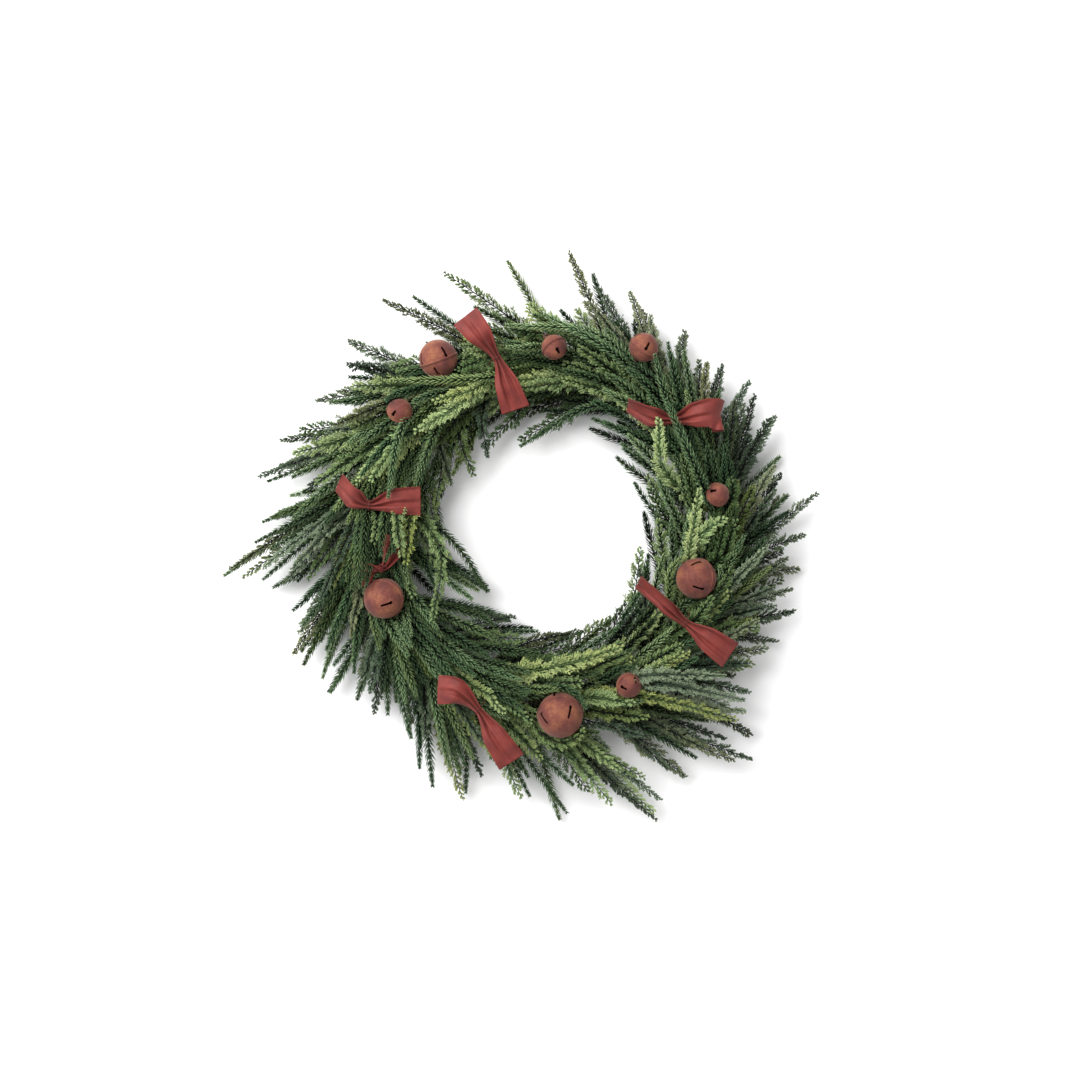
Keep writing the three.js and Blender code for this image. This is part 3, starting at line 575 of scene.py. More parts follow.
def gathered(index, pushes, count):
    """The sum of the pushes on each point."""
    return np.stack([np.bincount(index, pushes[:, axis], count) for axis in range(3)], 1)


def push_apart(gaps, room):
    """Moves that widen gaps to the room that is wanted."""
    apart = np.linalg.norm(gaps, axis=1)
    return gaps * (np.clip(room - apart, 0, None) / np.maximum(apart, 1e-9))[:, None]


def settle(sprays, balls, elbow, rounds, resting=None):
    """Pushes sprays apart and off everything in their way, a little at a time, and keeps them smooth."""
    home = np.concatenate([spray["home"] for spray in sprays])
    points = home.copy()
    count = len(points)
    owner = np.repeat(np.arange(len(sprays)), SPRAY_POINTS)
    step = np.tile(np.arange(SPRAY_POINTS), len(sprays))
    bunch = np.repeat([spray["bunch"] for spray in sprays], SPRAY_POINTS)
    free = step >= FIXED_POINTS
    centres, radii, holders = balls
    listed = None
    for _ in range(rounds):
        if listed is None or np.abs(points - listed).max() > LIST_MARGIN / 4:
            listed = points.copy()
            first, second = near_pairs(points, points, elbow + LIST_MARGIN)
            kept = (owner[second] < owner[first]) & free[first]
            first, second = first[kept], second[kept]
            mover, ball = near_pairs(points, centres, radii.max() + SIDE_ROOM + LIST_MARGIN)
            kept = free[mover] & (holders[ball] != bunch[mover])
            mover, ball = mover[kept], ball[kept]
            if resting is not None:
                guest, host = near_pairs(points, resting, elbow + LIST_MARGIN)
                kept = free[guest]
                guest, host = guest[kept], host[kept]
        room = elbow * np.minimum(1, (step[first] + step[second]) / FULL_ROOM_POINTS)
        push = push_apart(points[first] - points[second], room) / 2
        moves = gathered(first, push, count) - gathered(second, push * free[second][:, None], count)
        push = push_apart(points[mover] - centres[ball], radii[ball] + SIDE_ROOM)
        moves += gathered(mover, push, count)
        if resting is not None:
            room = elbow * np.minimum(1, step[guest] / FULL_ROOM_POINTS)
            moves += gathered(guest, push_apart(points[guest] - resting[host], room), count)
        points[free] += STEP_SHARE * moves[free]
        points[free] += HOME_PULL * (home - points)[free]
        points[free, 2] = np.maximum(points[free, 2], LOWEST_SPRAY)
        rows = points.reshape(len(sprays), SPRAY_POINTS, 3)
        for at in range(FIXED_POINTS, SPRAY_POINTS - 1):
            rows[:, at] += SMOOTHING * ((rows[:, at - 1] + rows[:, at + 1]) / 2 - rows[:, at])
    for spray, row in zip(sprays, points.reshape(len(sprays), SPRAY_POINTS, 3)):
        spray["points"] = row


# --- Tie wires ------------------------------------------------------------------------------------

TIE_BEND = 1.2
TIE_BEND_STEPS = 4
TIE_SIDES = 8


def hook_arc(centre, start, top, radius):
    """Half a turn about a centre, from one side over its top to the other."""
    turns = np.arange(HOOK_STEPS + 1) * math.pi / HOOK_STEPS
    return [centre + start * radius * math.cos(turn) + top * radius * math.sin(turn) for turn in turns]


def tie_path(hold, ahead_degrees):
    """A hook under the hoop in the nearest gap between clamps, a run up to what it holds, and a hook."""
    centre, start, top, radius = hold
    pitch = clamp_angle(1)
    ahead = math.radians(ahead_degrees)
    angle = math.floor((math.atan2(centre[1], centre[0]) - ahead) / pitch + 0.5) * pitch + ahead
    outward = on_ring(angle, 1, 0)
    hoop = on_ring(angle, hoop_radius(angle), HOOP_HEIGHT)
    foot = hook_arc(hoop, outward, -UP, RING_WIRE / 2 + FIT_GAP + TIE_WIRE / 2)
    near = start if (hoop - centre) @ start > 0 else -start
    head = hook_arc(centre, near, top, radius)
    tail = head[-1] - top * HOOK_END
    knee = foot[-1] + UP * TIE_RISE
    return np.array([*foot, knee, *head, tail])


def bell_turn(bell):
    """Turns a bell's own +Z to its pole's direction, after a turn of its slots about it."""
    pole = Vector(bell["pole"]).normalized()
    return Vector((0, 0, 1)).rotation_difference(pole) @ Quaternion((0, 0, 1), math.radians(bell["turn"]))


def eye_hold(bell):
    """What a bell's tie hooks round: the eye's bar at the bell's back."""
    turned = bell_turn(bell)
    top = np.array(turned @ Vector((0, 0, 1)))
    start = np.array(turned @ Vector((0, 1, 0)))
    centre = np.array(bell["place"], float) - top * (bell["size"] / 2 + 2 * EYE_RADIUS - EYE_WIRE)
    return centre, start, top, EYE_WIRE + FIT_GAP + TIE_WIRE / 2


def pinch_hold(stations):
    """What a ribbon's tie hooks round: the ribbon's pinch."""
    at, across, _ = stations[PINCH]
    start = unit(np.array([across[0], across[1], 0.0]))
    return np.array(at, float), start, UP, PINCHED * RIBBON_WIDTH / 2 + FIT_GAP + TIE_WIRE


# --- Mesh making ----------------------------------------------------------------------------------


BLADE_SIDES = 3


class Shape:
    """Gathers points and faces, in millimetres from the ring's centre, for one mesh."""

    def __init__(self):
        self.points = []
        self.growth = []
        self.faces = {3: [], 4: []}
        self.finish = {3: [], 4: []}
        self.count = 0

    def add(self, points, quads=(), triangles=(), growth=(0, 0, 0), finish=0):
        """Adds points and faces that number them from 0. growth is three numbers a point, for its finish."""
        for sides, faces in ((4, quads), (3, triangles)):
            if len(faces):
                rows = np.asarray(faces).reshape(-1, sides) + self.count
                self.faces[sides].append(rows)
                self.finish[sides].append(np.full(len(rows), finish))
        self.points.append(points.reshape(-1, 3))
        self.growth.append(np.broadcast_to(growth, points.shape).reshape(-1, 3))
        self.count += len(self.points[-1])

    def mesh(self, name, materials):
        """All that was gathered as one smooth mesh with these materials."""
        if not self.count:
            raise RuntimeError(f"{name} came out empty")
        quads, triangles = (
            np.concatenate(self.faces[sides]) if self.faces[sides] else np.zeros((0, sides), int)
            for sides in (4, 3)
        )
        mesh = bpy.data.meshes.new(name)
        mesh.vertices.add(self.count)
        mesh.vertices.foreach_set("co", (np.concatenate(self.points) * MM + CENTRE).ravel())
        corners = np.concatenate([quads.ravel(), triangles.ravel()])
        mesh.loops.add(len(corners))
        mesh.loops.foreach_set("vertex_index", corners)
        starts = np.concatenate(
            [np.arange(len(quads)) * 4, len(quads) * 4 + np.arange(len(triangles)) * 3]
        )
        mesh.polygons.add(len(starts))
        mesh.polygons.foreach_set("loop_start", starts)
        finish = np.concatenate([*self.finish[4], *self.finish[3]])
        mesh.polygons.foreach_set("material_index", finish)
        mesh.polygons.foreach_set("use_smooth", np.ones(len(starts), bool))
        mesh.update(calc_edges=True)
        growth = mesh.attributes.new("growth", "FLOAT_VECTOR", "POINT")
        growth.data.foreach_set("vector", np.concatenate(self.growth).ravel())
        for material in materials:
            mesh.materials.append(material)
        return mesh


def place_piece(name, mesh, nodes):
    """Shows a mesh as a piece on the wreath that stands for these nodes of the construction."""
    piece = bpy.data.objects.new(name, mesh)
    bpy.context.scene.collection.objects.link(piece)
    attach(piece, "root")
    if nodes:
        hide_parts(*nodes)
    return piece


def ring_faces(rings, sides):
    """Quads between rings of one tube, numbered from 0."""
    ring, side = np.divmod(np.arange((rings - 1) * sides), sides)
    after = (side + 1) % sides
    near, far = ring * sides, (ring + 1) * sides
    return np.stack([near + side, near + after, far + after, far + side], 1)


def blades(shape, lines, radii, ups, growth, finish, squash=1.0):
    """Adds closed blades that taper to a point: their lines, and their radii at all but the last point."""
    count, length, _ = lines.shape
    rings, sides = length - 1, BLADE_SIDES
    along = np.diff(lines, axis=1)
    tangents = unit(along + np.concatenate([along[:, :1], along[:, :-1]], axis=1))
    u = unit(np.cross(ups[:, None], tangents))
    v = np.cross(tangents, u) * squash
    turns = (np.arange(sides) + 0.5) * 2 * math.pi / sides
    spread = np.cos(turns)[:, None] * u[:, :, None] + np.sin(turns)[:, None] * v[:, :, None]
    body = lines[:, :-1, None] + spread * radii[:, :, None, None]
    points = np.concatenate([body.reshape(count, -1, 3), lines[:, -1:]], axis=1)
    starts = (np.arange(count) * (rings * sides + 1))[:, None, None]
    quads = ring_faces(rings, sides)[None] + starts
    last = (rings - 1) * sides
    side = np.arange(sides)
    cap = np.stack([last + side, last + (side + 1) % sides, np.full(sides, rings * sides)], 1)[None] + starts
    root = side[::-1][None, None] + starts
    tone = np.concatenate([np.repeat(growth, sides, axis=1)[:, : rings * sides], growth[:, -1:]], axis=1)
    shape.add(points, quads, np.concatenate([cap.reshape(-1, 3), root.reshape(-1, 3)]), tone, finish)


def tube(shape, line, radii, sides, finish, growth=(0, 0, 0)):
    """Adds a closed round bar through a line of points. Its section turns no more than the line makes it."""
    side = UP if abs(unit(line[1] - line[0])[2]) < 0.9 else np.array([1.0, 0.0, 0.0])
    rings = []
    for at, point in enumerate(line):
        along = unit(line[min(at + 1, len(line) - 1)] - line[max(at - 1, 0)])
        across = unit(np.cross(side, along))
        side = np.cross(along, across)
        turns = (np.arange(sides) + 0.5) * 2 * math.pi / sides
        rings.append(point + radii[at] * (np.cos(turns)[:, None] * across + np.sin(turns)[:, None] * side))
    points = np.concatenate([np.concatenate(rings), line[:1], line[-1:]])
    turn = np.arange(sides)
    after = (turn + 1) % sides
    last = (len(line) - 1) * sides
    ends = np.concatenate([
        np.stack([after, turn, np.full(sides, len(line) * sides)], 1),
        np.stack([last + turn, last + after, np.full(sides, len(line) * sides + 1)], 1),
    ])
    shape.add(points, ring_faces(len(line), sides), ends, growth, finish)


# --- Materials ------------------------------------------------------------------------------------


# Sizes of the patterns, in millimetres. Two are drawn coarser than real ones, to show at all: real threads
# are 0.4 apart, and a paper's tooth is 0.3.
MOTTLE = 34.0
BARK_FLECK = 2.5
ENAMEL_SWELL = 1.6
STEEL_STREAK = 0.8
WIRE_SPOT = 1.5
RUST_PATCH = 16.0
RUST_GRAIN = 2.2
CLOTH_PATCH = 14.0
THREAD_SPACING = 0.9
PAPER_TOOTH = 3.0


def add_node(tree, kind, inputs=None, stops=None, **settings):
    """Adds a node with its settings, its inputs' values or links, and a ramp's stops of linear colours."""
    made = tree.nodes.new(kind)
    for name, value in settings.items():
        setattr(made, name, value)
    for key, value in (inputs or {}).items():
        if isinstance(value, bpy.types.NodeSocket):
            tree.links.new(value, made.inputs[key])
        else:
            made.inputs[key].default_value = value
    if stops:
        ramp = made.color_ramp
        for _ in stops[2:]:
            ramp.elements.new(0.5)
        for element, (place, colour) in zip(ramp.elements, stops):
            element.position = place
            element.color = colour
    return made


def new_material(name, colour):
    """A material's tree and its shader, with a colour for plain views."""
    material = bpy.data.materials.new(name)
    material.use_nodes = True
    material.diffuse_color = colour
    tree = material.node_tree
    return material, tree, tree.nodes["Principled BSDF"]


def position(tree):
    """Where a point lies in the frame, in metres, as a socket."""
    return add_node(tree, "ShaderNodeNewGeometry").outputs["Position"]


def multiplied(tree, colour, other):
    """One colour times another, as a socket."""
    made = add_node(
        tree, "ShaderNodeMix", {0: 1.0, 6: colour, 7: other}, data_type="RGBA", blend_type="MULTIPLY"
    )
    return made.outputs[2]


def growth_parts(tree):
    """The three numbers of each point, as sockets: a leaf's tone, reach and hue, or a ribbon's two ways and
    nearness to its edge."""
    growth = add_node(tree, "ShaderNodeAttribute", attribute_name="growth")
    return add_node(tree, "ShaderNodeSeparateXYZ", {"Vector": growth.outputs["Vector"]}).outputs


def leaf_material(name, colours, tints, roughness):
    """Evergreen leaf: dark at the root and light at the tip, bluer or yellower from spray to spray. The
    near-black at the root is partly the leaf's own colour and partly painted shade, and a spray's tone also
    carries painted shade.
    """
    dark, light, fresh = colours
    material, tree, shader = new_material(name, light)
    tone, reach, hue = growth_parts(tree)
    own = add_node(tree, "ShaderNodeMath", {0: tone, 1: 0.66, 2: -0.12}, operation="MULTIPLY_ADD").outputs[0]
    lift = add_node(tree, "ShaderNodeMath", {0: reach, 1: 0.66, 2: own}, operation="MULTIPLY_ADD").outputs[0]
    # The ramp's darkest stop, at the roots, is nearly black: painted shade over the leaf's own darker root
    # colour.
    ramp = add_node(
        tree, "ShaderNodeValToRGB", {"Fac": lift}, stops=[(0.25, dark), (0.58, light), (0.98, fresh)]
    )
    mottle = add_node(
        tree, "ShaderNodeTexNoise", {"Vector": position(tree), "Scale": 1 / (MOTTLE * MM), "Detail": 2.0}
    )
    mixed = add_node(tree, "ShaderNodeMix", {0: 0.4, 2: hue, 3: mottle.outputs["Fac"]})
    bluer, yellower = (linear(tint) for tint in tints)
    shift = add_node(
        tree, "ShaderNodeValToRGB", {"Fac": mixed.outputs[0]},
        stops=[(0.15, bluer), (0.5, linear("#FFFFFF")), (0.85, yellower)],
    )
    tinted = multiplied(tree, ramp.outputs["Color"], shift.outputs["Color"])
    tree.links.new(tinted, shader.inputs["Base Color"])
    shader.inputs["Roughness"].default_value = roughness
    shader.inputs["IOR"].default_value = 1.45
    shader.inputs["Specular IOR Level"].default_value = 0.2
    return material


def pine_material(greens):
    """Fresh fir needle under its natural wax: a soft shine, pale at its point, and dark at its root, partly
    its own colour and partly painted shade.
    """
    colours = greens.pine_dark_and_shade, greens.pine_light, greens.pine_fresh
    return leaf_material("fir_needle_waxed", colours, ("#B4CCC6", "#FFF1C4"), 0.5)


def cedar_material(greens):
    """Fresh cedar scale leaf, smooth and waxy: yellow-green, brightest in this year's growth at the tips, and
    nearly black at the roots, partly its own colour and partly painted shade.
    """
    colours = greens.cedar_dark_and_shade, greens.cedar_light, greens.cedar_fresh
    return leaf_material("cedar_scale_leaf_fresh", colours, ("#C4D8CC", "#FFF1C4"), 0.52)


def cypress_material(greens):
    """Dried cypress leaf, dull: dark grey-green and greyish at the tips, nearly black at the roots inside the
    spray, partly its own colour and partly painted shade.
    """
    colours = greens.cypress_dark_and_shade, greens.cypress_light, greens.cypress_fresh
    return leaf_material("cypress_leaf_dried", colours, ("#B8CACA", "#FFF0CE"), 0.65)


def bark_material(greens):
    """Young conifer bark, rough and unfinished: brown-green and matte, with darker flecks along the stem."""
    material, tree, shader = new_material("conifer_bark_young", greens.bark)
    flecks = add_node(
        tree, "ShaderNodeTexNoise", {"Vector": position(tree), "Scale": 1 / (BARK_FLECK * MM), "Detail": 4.0}
    )
    ramp = add_node(
        tree, "ShaderNodeValToRGB", {"Fac": flecks.outputs["Fac"]},
        stops=[(0.3, linear("#3A3322")), (0.55, greens.bark), (0.8, linear("#7A7248"))],
    )
    tree.links.new(ramp.outputs["Color"], shader.inputs["Base Color"])
    bump = add_node(
        tree, "ShaderNodeBump", {"Height": flecks.outputs["Fac"], "Strength": 0.5, "Distance": 0.3 * MM}
    )
    tree.links.new(bump.outputs["Normal"], shader.inputs["Normal"])
    shader.inputs["Roughness"].default_value = 0.8
    return material


def enamel_material(ring):
    """Baked green enamel over sheet steel: even colour, satin shine, a faint orange-peel swell."""
    material, tree, shader = new_material("green_enamel_baked", ring.enamel)
    swell = add_node(
        tree, "ShaderNodeTexNoise",
        {"Vector": position(tree), "Scale": 1 / (ENAMEL_SWELL * MM), "Detail": 1.0},
    )
    ramp = add_node(
        tree, "ShaderNodeValToRGB", {"Fac": swell.outputs["Fac"]},
        stops=[(0.2, ring.enamel), (0.8, linear("#294832"))],
    )
    tree.links.new(ramp.outputs["Color"], shader.inputs["Base Color"])
    bump = add_node(
        tree, "ShaderNodeBump", {"Height": swell.outputs["Fac"], "Strength": 0.15, "Distance": 0.1 * MM}
    )
    tree.links.new(bump.outputs["Normal"], shader.inputs["Normal"])
    shader.inputs["Roughness"].default_value = 0.38
    shader.inputs["Coat Weight"].default_value = 0.3
    return material


def steel_material():
    """Annealed steel wire, drawn: grey and dull, with fine streaks."""
    material, tree, shader = new_material("steel_wire_annealed", linear("#7F8283"))
    streaks = add_node(
        tree, "ShaderNodeTexNoise",
        {"Vector": position(tree), "Scale": 1 / (STEEL_STREAK * MM), "Detail": 3.0},
    )
    ramp = add_node(
        tree, "ShaderNodeValToRGB", {"Fac": streaks.outputs["Fac"]},
        stops=[(0.3, linear("#6A6C6C")), (0.7, linear("#9A9D9E"))],
    )
    tree.links.new(ramp.outputs["Color"], shader.inputs["Base Color"])
    rough = add_node(
        tree, "ShaderNodeMapRange", {"Value": streaks.outputs["Fac"], "To Min": 0.35, "To Max": 0.6}
    )
    tree.links.new(rough.outputs["Result"], shader.inputs["Roughness"])
    shader.inputs["Metallic"].default_value = 1.0
    return material


def wire_material():
    """Soft iron binding wire, rusted: dull red-brown, so that it hardly shows on the ribbons."""
    material, tree, shader = new_material("iron_wire_rusted", linear("#5A2823"))
    spots = add_node(
        tree, "ShaderNodeTexNoise", {"Vector": position(tree), "Scale": 1 / (WIRE_SPOT * MM), "Detail": 2.0}
    )
    ramp = add_node(
        tree, "ShaderNodeValToRGB", {"Fac": spots.outputs["Fac"]},
        stops=[(0.3, linear("#4A1F1C")), (0.7, linear("#6B312A"))],
    )
    tree.links.new(ramp.outputs["Color"], shader.inputs["Base Color"])
    shader.inputs["Roughness"].default_value = 0.75
    shader.inputs["Metallic"].default_value = 0.2
    return material


def rust_material(bells):
    """Pressed sheet iron with an even dry rust: matte red-brown, orange where fresh, darker in pits."""
    material, tree, shader = new_material("sheet_iron_rusted", bells.rust_middle)
    place = position(tree)
    patches = add_node(
        tree, "ShaderNodeTexNoise",
        {"Vector": place, "Scale": 1 / (RUST_PATCH * MM), "Detail": 3.0, "Roughness": 0.55},
    )
    grains = add_node(
        tree, "ShaderNodeTexNoise",
        {"Vector": place, "Scale": 1 / (RUST_GRAIN * MM), "Detail": 3.0, "Roughness": 0.6},
    )
    ground = add_node(
        tree, "ShaderNodeValToRGB", {"Fac": patches.outputs["Fac"]},
        stops=[
            (0.34, bells.rust_dark), (0.46, bells.rust_middle),
            (0.56, bells.rust_light), (0.68, bells.rust_orange),
        ],
    )
    speckle = add_node(
        tree, "ShaderNodeValToRGB", {"Fac": grains.outputs["Fac"]},
        stops=[(0.3, linear("#DCCFCB")), (0.62, linear("#FFFFFF"))],
    )
    base = multiplied(tree, ground.outputs["Color"], speckle.outputs["Color"])
    tree.links.new(base, shader.inputs["Base Color"])
    bump = add_node(
        tree, "ShaderNodeBump", {"Height": grains.outputs["Fac"], "Strength": 0.35, "Distance": 0.2 * MM}
    )
    tree.links.new(bump.outputs["Normal"], shader.inputs["Normal"])
    shader.inputs["Roughness"].default_value = 0.82
    shader.inputs["Metallic"].default_value = 0.1
    shader.inputs["Sheen Weight"].default_value = 0.3
    shader.inputs["Sheen Roughness"].default_value = 0.45
    shader.inputs["Sheen Tint"].default_value = linear("#D9B9A8")
    return material


def ribbon_material(ribbons):
    """Woven cotton ribbon, dyed: matte brick red, a paler selvage along both edges, threads just felt."""
    material, tree, shader = new_material("cotton_ribbon_woven", ribbons.dye_middle)
    across, along, edge = growth_parts(tree)
    threads = 2 * math.pi / THREAD_SPACING
    turns = [
        add_node(tree, "ShaderNodeMath", {0: way, 1: threads}, operation="MULTIPLY").outputs[0]
        for way in (across, along)
    ]
    waves = [add_node(tree, "ShaderNodeMath", {0: turn}, operation="SINE").outputs[0] for turn in turns]
    weave = add_node(tree, "ShaderNodeMath", {0: waves[0], 1: waves[1]}, operation="MULTIPLY").outputs[0]
    wear = add_node(
        tree, "ShaderNodeTexNoise", {"Vector": position(tree), "Scale": 1 / (CLOTH_PATCH * MM), "Detail": 3.0}
    )
    dye = add_node(
        tree, "ShaderNodeValToRGB", {"Fac": wear.outputs["Fac"]},
        stops=[(0.3, ribbons.dye_dark), (0.5, ribbons.dye_middle), (0.75, ribbons.dye_light)],
    )
    white = linear("#FFFFFF")
    selvage = add_node(
        tree, "ShaderNodeValToRGB", {"Fac": edge},
        stops=[(0.0, white), (0.93, white), (1.0, linear("#FFE6E0"))],
    )
    shade = add_node(
        tree, "ShaderNodeMapRange", {"Value": weave, "From Min": -1.0, "To Min": 0.9, "To Max": 1.0}
    )
    cloth = multiplied(tree, dye.outputs["Color"], selvage.outputs["Color"])
    cloth = multiplied(tree, cloth, shade.outputs["Result"])
    tree.links.new(cloth, shader.inputs["Base Color"])
    bump = add_node(tree, "ShaderNodeBump", {"Height": weave, "Strength": 0.25, "Distance": 0.15 * MM})
    tree.links.new(bump.outputs["Normal"], shader.inputs["Normal"])
    shader.inputs["Roughness"].default_value = 0.7
    shader.inputs["Sheen Weight"].default_value = 0.15
    shader.inputs["Sheen Roughness"].default_value = 0.5
    shader.inputs["Sheen Tint"].default_value = linear("#E8A090")
    return material


def floor_material():
    """Seamless white paper, uncoated: matte and nearly white, with a barely seen tooth."""
    material, tree, shader = new_material("studio_paper_white", linear("#FAFAFA"))
    tooth = add_node(
        tree, "ShaderNodeTexNoise", {"Vector": position(tree), "Scale": 1 / (PAPER_TOOTH * MM), "Detail": 2.0}
    )
    ramp = add_node(
        tree, "ShaderNodeValToRGB", {"Fac": tooth.outputs["Fac"]},
        stops=[(0.0, linear("#F7F7F7")), (1.0, linear("#FCFCFC"))],
    )
    tree.links.new(ramp.outputs["Color"], shader.inputs["Base Color"])
    shader.inputs["Roughness"].default_value = 0.9
    return material


# --- Greens ---------------------------------------------------------------------------------------

# Finishes, by their place in a bunch's list of materials.
PINE, CEDAR, CYPRESS, BARK = range(4)
# Pine: the whorls along a shoot, the needles round each, and how many degrees they lean from it.
WHORL_GAP = 3.0
WHORL_NEEDLES = 6
WHORL_JITTER = 0.3
TURN_JITTER = 0.16
NEEDLE_LENGTH = 9.6
NEEDLE_WIDTH = 1.45
NEEDLE_LEAN = 54.0
TIP_LEAN = 30.0
LEAN_JITTER = 4.0
NEEDLE_BEND = 0.62
NEEDLE_TAPER = (0.75, 1.0)
NEEDLE_SQUASH = 0.7
NEEDLE_FOOT = 0.5
PINE_CORE = 1.6
# How fast a shoot narrows towards its tip: more slowly on the wreath's face than in its fringe.
FRINGE_TAPER = 2.9
FACE_TAPER = 3.6
# Cedar and cypress: branchlets with pairs of leaves at shares of their length.
FRONDS = dict(
    cedar=dict(
        finish=CEDAR, gap=2.7, reach=15.0, bush=0.3, thick=0.62, pairs=(0.2, 0.36, 0.52, 0.67, 0.8, 0.92)
    ),
    cypress=dict(finish=CYPRESS, gap=1.6, reach=12.0, bush=0.6, thick=0.66, pairs=(0.3, 0.5, 0.7, 0.88)),
)
TWIG_LEAN = 47.0
LEAF_LEAN = 42.0
GREEN_JITTER = 7.0
GREEN_BEND = 0.5
TWIG_TAPER = (0.8, 1.05, 0.9, 1.0)
LEAF_TAPER = (0.75, 1.0)
# Room to bells, ribbons and the floor.
NEEDLE_ROOM = 0.4
LEAF_ROOM = 0.3
PINE_FLOOR = 0.6
FROND_FLOOR = 0.8
BELL_SKIN = 0.6
RIBBON_SKIN = 2.4
STEM_THICKNESS = 1.15
STEM_END = 0.9
NEEDLE_SEED = 5150
# Beyond this distance from the centre a spray belongs to the fringe.
FRINGE = 222.0
# A spray that would pass over a bell or a ribbon ends before it.
NEAR_REACH = 26.0
PASS_GAP = 2.0
CUT_BACK = 5.0
SHORTEST_SPRAY = BARE_STEM * 1.6
# Sprays are darker the lower they end, from one height down over a depth: painted shade.
LIT_HEIGHT = 62.0
SHADE_DEPTH = 50.0
SHADE = 0.4
TONE_MIDDLE = 0.51
TONE_SPREAD = 0.17
LEAF_TONE_SPREAD = 0.07
HUE_SPREAD = 0.26
# Shares of the fringe that are cypress, between two angles in degrees, and elsewhere.
CYPRESS_SECTORS = ((-75, 80, 0.8), (80, 165, 0.55))
CYPRESS_ELSEWHERE = 0.35
CYPRESS_SEED = 31
# Where leaves begin on a shoot and its green core begins, and how far from the tip the leaves end.
PINE_START = BARE_STEM * 0.8
FROND_START = BARE_STEM * 0.9
CORE_START = BARE_STEM * 0.6
PINE_END = 0.5
FROND_END = 1.0
# How full a shoot is: its share at the start, how fast it opens and closes, and its share at the tip.
PINE_SWELL = dict(start=0.3, opening=5, end=0.2)
FROND_SWELL = dict(start=0.35, opening=4, closing=1.9, end=0.04)
# How uneven leaves are: ranges of their length and thickness, and how far they stray.
NEEDLE_LENGTHS = (0.85, 1.12)
NEEDLE_WIDTHS = (0.85, 1.1)
TWIG_LENGTHS = (0.6, 1.15)
TWIG_JITTER = 0.5
TWIGS_UPWARD = 0.75
LEAF_LENGTHS = (0.75, 1.2)
LEAF_JITTER = 0.06
LEAF_TILT = 0.18
LEAVES_LOST = 0.1
# A leaf's length: a share of its twig's, which falls along the twig, and at least this length.
LEAF_SHARE = 0.4
LEAF_SHARE_FALL = 0.22
SHORTEST_LEAF = 1.0
# How far from root to tip a leaf's colour begins, on the first and on the last pair of a twig, so that leaves
# nearer the twig's root start darker, partly with painted shade.
LEAF_FIRST = (0.25, 0.6)
# Ranges of what each spray draws for itself.
ROLL = 0.4
PINE_WIDTHS = (0.82, 1.06)
FROND_SIZES = (0.85, 1.12)
TONES = (0.02, 0.95)
HALVES = (0.0, 0.5, 1.0)
QUARTERS = (0.0, 0.25, 0.5, 0.75, 1.0)
CORE_SIDES = 5
SHOOT_POINTS = 161


class Shoot:
    """A spray's curve with its frame: places, directions, ways across and ways above at any way along it."""

    def __init__(self, points, roll):
        fine = smooth_curve(points, np.linspace(0, 1, SHOOT_POINTS))
        self.ways = np.concatenate([[0], np.cumsum(np.linalg.norm(np.diff(fine, axis=0), axis=1))])
        self.length = self.ways[-1]
        self.fine = fine
        self.slopes = unit(np.gradient(fine, self.ways, axis=0))
        self.roll = roll

    def at(self, ways):
        """Points at these ways along the curve, with the directions along, across and above."""
        point, along = (
            np.stack([np.interp(ways, self.ways, rows[:, axis]) for axis in range(3)], -1)
            for rows in (self.fine, self.slopes)
        )
        along = unit(along)
        across = unit(np.cross(UP, along))
        above = np.cross(along, across)
        cos, sin = math.cos(self.roll), math.sin(self.roll)
        return point, along, across * cos + above * sin, above * cos - across * sin


def clear_of(points, balls, gap):
    """Which points lie outside every ball by a gap, and not over it either."""
    centres, radii = balls
    if not len(centres):
        return np.ones(len(points), bool)
    flat, middles = points[:, :2], centres[:, :2]
    apart = (flat**2).sum(1)[:, None] + (middles**2).sum(1)[None] - 2 * flat @ middles.T
    below = np.minimum(0, points[:, 2][:, None] - centres[:, 2][None])
    return (apart + below**2 > (radii + gap)[None] ** 2).all(1)


def near_balls(shoot, balls, reach):
    """The balls of the bells and ribbons that a spray comes near or passes over."""
    centres, radii = balls
    step = shoot.fine[::8]
    apart = np.linalg.norm(centres[:, None, :2] - step[None, :, :2], axis=2).min(1)
    near = apart < radii + reach
    return centres[near], radii[near]


def bent(roots, first, second, lengths, shares):
    """Lines that leave their roots in one direction and bend to a second: (blade, point, xyz)."""
    lines = [roots]
    for before, after in zip(shares[:-1], shares[1:]):
        part = (before + after) / 2
        lines.append(lines[-1] + unit(mix(first, second, part)) * (lengths * (after - before))[:, None])
    return np.stack(lines, 1)


def tones(random, tone, hue, count, rings, first=0.0):
    """Growth of blades: a lightness for each, reach from root to tip, and hue from blue to yellow."""
    growth = np.empty((count, rings + 1, 3))
    growth[..., 0] = np.clip(tone + random.normal(0, LEAF_TONE_SPREAD, count), 0, 1)[:, None]
    growth[..., 1] = np.linspace(first, 1, rings + 1)[None]
    growth[..., 2] = hue
    return growth


def swelling(done, start, opening, closing, end):
    """How full a spray is at shares of its length: it opens fast and closes towards the tip."""
    return np.sqrt(np.minimum(1, done * opening + start) * np.minimum(1, (1 - done) * closing + end))


def leaning(along, aside, lean):
    """Directions that lean from one way to another by an angle."""
    return along * np.cos(lean) + aside * np.sin(lean)


